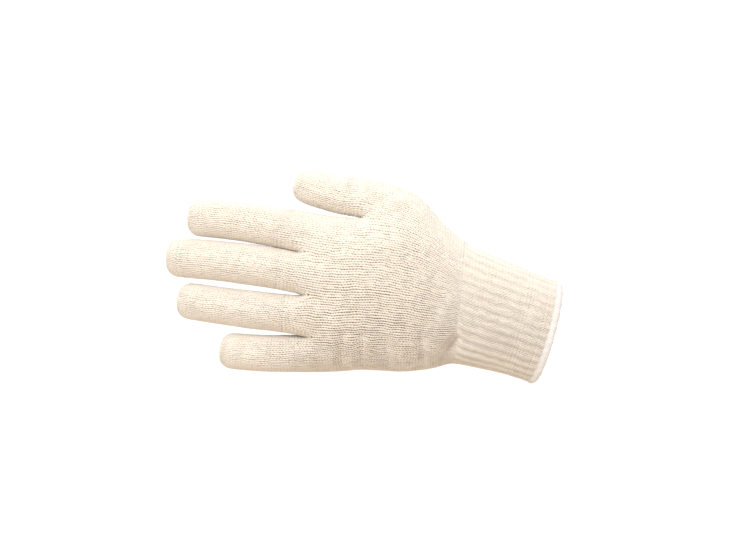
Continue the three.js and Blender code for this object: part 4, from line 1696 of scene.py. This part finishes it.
# The third colour of each finish is its painted shade, for the gaps between loops and between the hem's
# wraps.
JERSEY = CottonFinish("unbleached_cotton_jersey", "#fbf3e7", "#f6ebdb", "#8c6d4e", gap_shade_strength=1.15)
RIBBING = CottonFinish("unbleached_cotton_rib", "#fdf6ea", "#fbf2e3", "#8f7153", gap_shade_strength=0.95)
REVERSE = CottonFinish(
    "reverse_of_cotton_jersey", "#f3e7d3", "#ead9bf", "#9c7f5e", bump=0.5, ply_bump=1.5, purl=True
)
THREAD = CottonFinish("bleached_overlock_thread", "#f3f0ee", "#ebe7e4", "#b9aa9b", sheen=0.5, fibre=0.3)


def select_only(piece: bpy.types.Object) -> None:
    """Deselects everything, then selects and activates one object.

    Args:
        piece: the object.
    """
    for other in bpy.context.view_layer.objects:
        other.select_set(other is piece)
    bpy.context.view_layer.objects.active = piece


@dataclass
class Glove:
    """The glove's pieces on their cloth."""

    form: GloveForm = field(default_factory=GloveForm)
    stitch: Stitch = field(default_factory=Stitch)
    tension_and_shade: TensionAndShade = field(default_factory=TensionAndShade)

    def build(self) -> None:
        """Knits every piece and sets it in the frame."""
        form, seam = self.form, self.form.seam
        cloth = Cloth(Net(form))
        jersey, ribbing, reverse, thread = (
            finish.make() for finish in (JERSEY, RIBBING, REVERSE, THREAD)
        )
        hand = [
            Stretch("arm", seam, seam + len(form.thumb_rings)),
            Stretch("knuckles", 0, len(form.knuckle_rings)),
            *(Stretch(finger.name, 0, 1) for finger in form.tubes),
        ]
        palm = KnittedPiece(cloth, self.stitch, self.tension_and_shade, hand).shell
        self.place(palm.build("knitted_palm", jersey, reverse), "palm", "jersey")
        for finger in form.tubes:
            rows = form.tube_rows(finger.name)
            tube = [Stretch(finger.name, 1, rows), Stretch(f"{finger.name}_tip", 0, 2)]
            shell = KnittedPiece(cloth, self.stitch, self.tension_and_shade, tube).shell
            self.place(shell.build(f"knitted_{finger.name}", jersey, reverse), finger.name, "jersey")
        line = CuffLine(cloth)
        hem = OverlockHem(line)
        cuff = RibCuff(line, self.stitch, self.tension_and_shade, hem.width, form.wall).shell()
        self.place(cuff.build("ribbed_cuff", ribbing, reverse), "rib_cuff", "rib")
        self.place(hem.shell().build("overlocked_hem", thread, thread), "cuff_hem", "overlock")

    @staticmethod
    def place(piece: bpy.types.Object, node: str, slot: str) -> None:
        """Puts a piece in the place of its node and reports it.

        Args:
            piece: the piece.
            node: the node that it stands for.
            slot: the name of its material slot; not used.
        """
        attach(piece, BODY)
        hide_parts(node)
        mesh = piece.data
        mesh.calc_loop_triangles()
        log.info("%s: %d triangles", piece.name, len(mesh.loop_triangles))


@dataclass(frozen=True)
class SoftLight:
    """A square soft light: its place and size in metres and its power in watts."""

    name: str
    place: tuple[float, float, float]
    size: float
    watts: float


@dataclass(frozen=True)
class Ramp:
    """How the surroundings brighten or dim between two values of a direction's X, Y or Z."""

    axis: int
    start: float
    end: float
    low: float
    high: float


@dataclass
class Studio:
    """A pale floor well below the glove, soft light from above and the camera, in metres."""

    distance: float = 1.0
    frame_width: float = 0.4583
    centre: tuple[float, float] = (-0.1051, 0.0354)
    near: float = 0.05
    sensor: float = 36.0  # millimetres
    floor_drop: float = 0.8
    floor_size: float = 7.0
    floor_colour: str = "#eddac5"
    sky_colour: str = "#ffffff"
    aim: tuple[float, float, float] = (-0.1, 0.0, 0.03)
    lights: tuple[SoftLight, ...] = (
        SoftLight("key", (-0.6, -1.3, 0.95), 1.0, 17.2),
        SoftLight("top", (-0.1, 0.1, 1.2), 1.2, 4.0),
    )
    surroundings: tuple[Ramp, ...] = (
        Ramp(2, -0.75, -0.17, 0.72, 1.02),
        Ramp(1, 0.0, 0.9, 1.0, 1.15),
        Ramp(2, 0.3, 0.85, 1.0, 0.62),
    )

    def build(self) -> None:
        """Sets up camera, floor, lights and world."""
        self.add_camera()
        self.add_floor()
        for light in self.lights:
            self.add_light(light)
        self.add_world()
        bpy.context.scene.view_settings.view_transform = "Standard"

    def add_camera(self) -> None:
        """Adds the camera that sees the back of the hand from the front."""
        x, z = self.centre
        bpy.ops.object.camera_add(location=(x, -self.distance, z), rotation=(math.pi / 2, 0.0, 0.0))
        camera = bpy.context.active_object
        camera.name = "camera"
        camera.data.sensor_width = self.sensor
        camera.data.lens = self.sensor * self.distance / self.frame_width
        camera.data.clip_start = self.near
        bpy.context.scene.camera = camera

    def add_floor(self) -> None:
        """Adds the floor, a wide pale sheet."""
        bpy.ops.mesh.primitive_plane_add(size=self.floor_size, location=(0.0, 0.0, -self.floor_drop))
        floor = bpy.context.active_object
        floor.name = "studio_floor"
        material = bpy.data.materials.new("pale_studio_floor")
        material.use_nodes = True
        shader = material.node_tree.nodes["Principled BSDF"]
        shader.inputs["Base Color"].default_value = linear(self.floor_colour)
        shader.inputs["Roughness"].default_value = 1.0
        floor.data.materials.append(material)

    def add_light(self, soft: SoftLight) -> None:
        """Adds a light that points at the glove.

        Args:
            soft: the light.
        """
        bpy.ops.object.light_add(type="AREA", location=soft.place)
        light = bpy.context.active_object
        light.name = soft.name
        light.data.size = soft.size
        light.data.energy = soft.watts
        x, y, z = np.array(self.aim) - soft.place
        light.rotation_euler = (math.atan2(math.hypot(x, y), -z), 0.0, math.atan2(-x, y))

    def add_world(self) -> None:
        """Adds a white surrounding that is dimmer underneath and overhead."""
        world = bpy.data.worlds.new("studio")
        bpy.context.scene.world = world
        world.use_nodes = True
        tree = world.node_tree
        tree.nodes.clear()
        way = add_node(tree, "ShaderNodeTexCoord").outputs["Generated"]
        parts = add_node(tree, "ShaderNodeSeparateXYZ", None, {0: way}).outputs
        strength = 1.0
        for ramp in self.surroundings:
            ends = {
                "Value": parts[ramp.axis], "From Min": ramp.start, "From Max": ramp.end,
                "To Min": ramp.low, "To Max": ramp.high,
            }
            smooth = {"interpolation_type": "SMOOTHSTEP"}
            share = add_node(tree, "ShaderNodeMapRange", smooth, ends).outputs[0]
            product = add_node(tree, "ShaderNodeMath", {"operation": "MULTIPLY"}, {0: strength, 1: share})
            strength = product.outputs[0]
        sky = {"Color": linear(self.sky_colour), "Strength": strength}
        light = add_node(tree, "ShaderNodeBackground", None, sky)
        add_node(tree, "ShaderNodeOutputWorld", None, {"Surface": light.outputs[0]})


def main() -> None:
    """Builds the studio and the glove."""
    logging.basicConfig(level=logging.INFO, format="%(message)s")
    Studio().build()
    Glove().build()


if __name__ == "__main__":
    main()
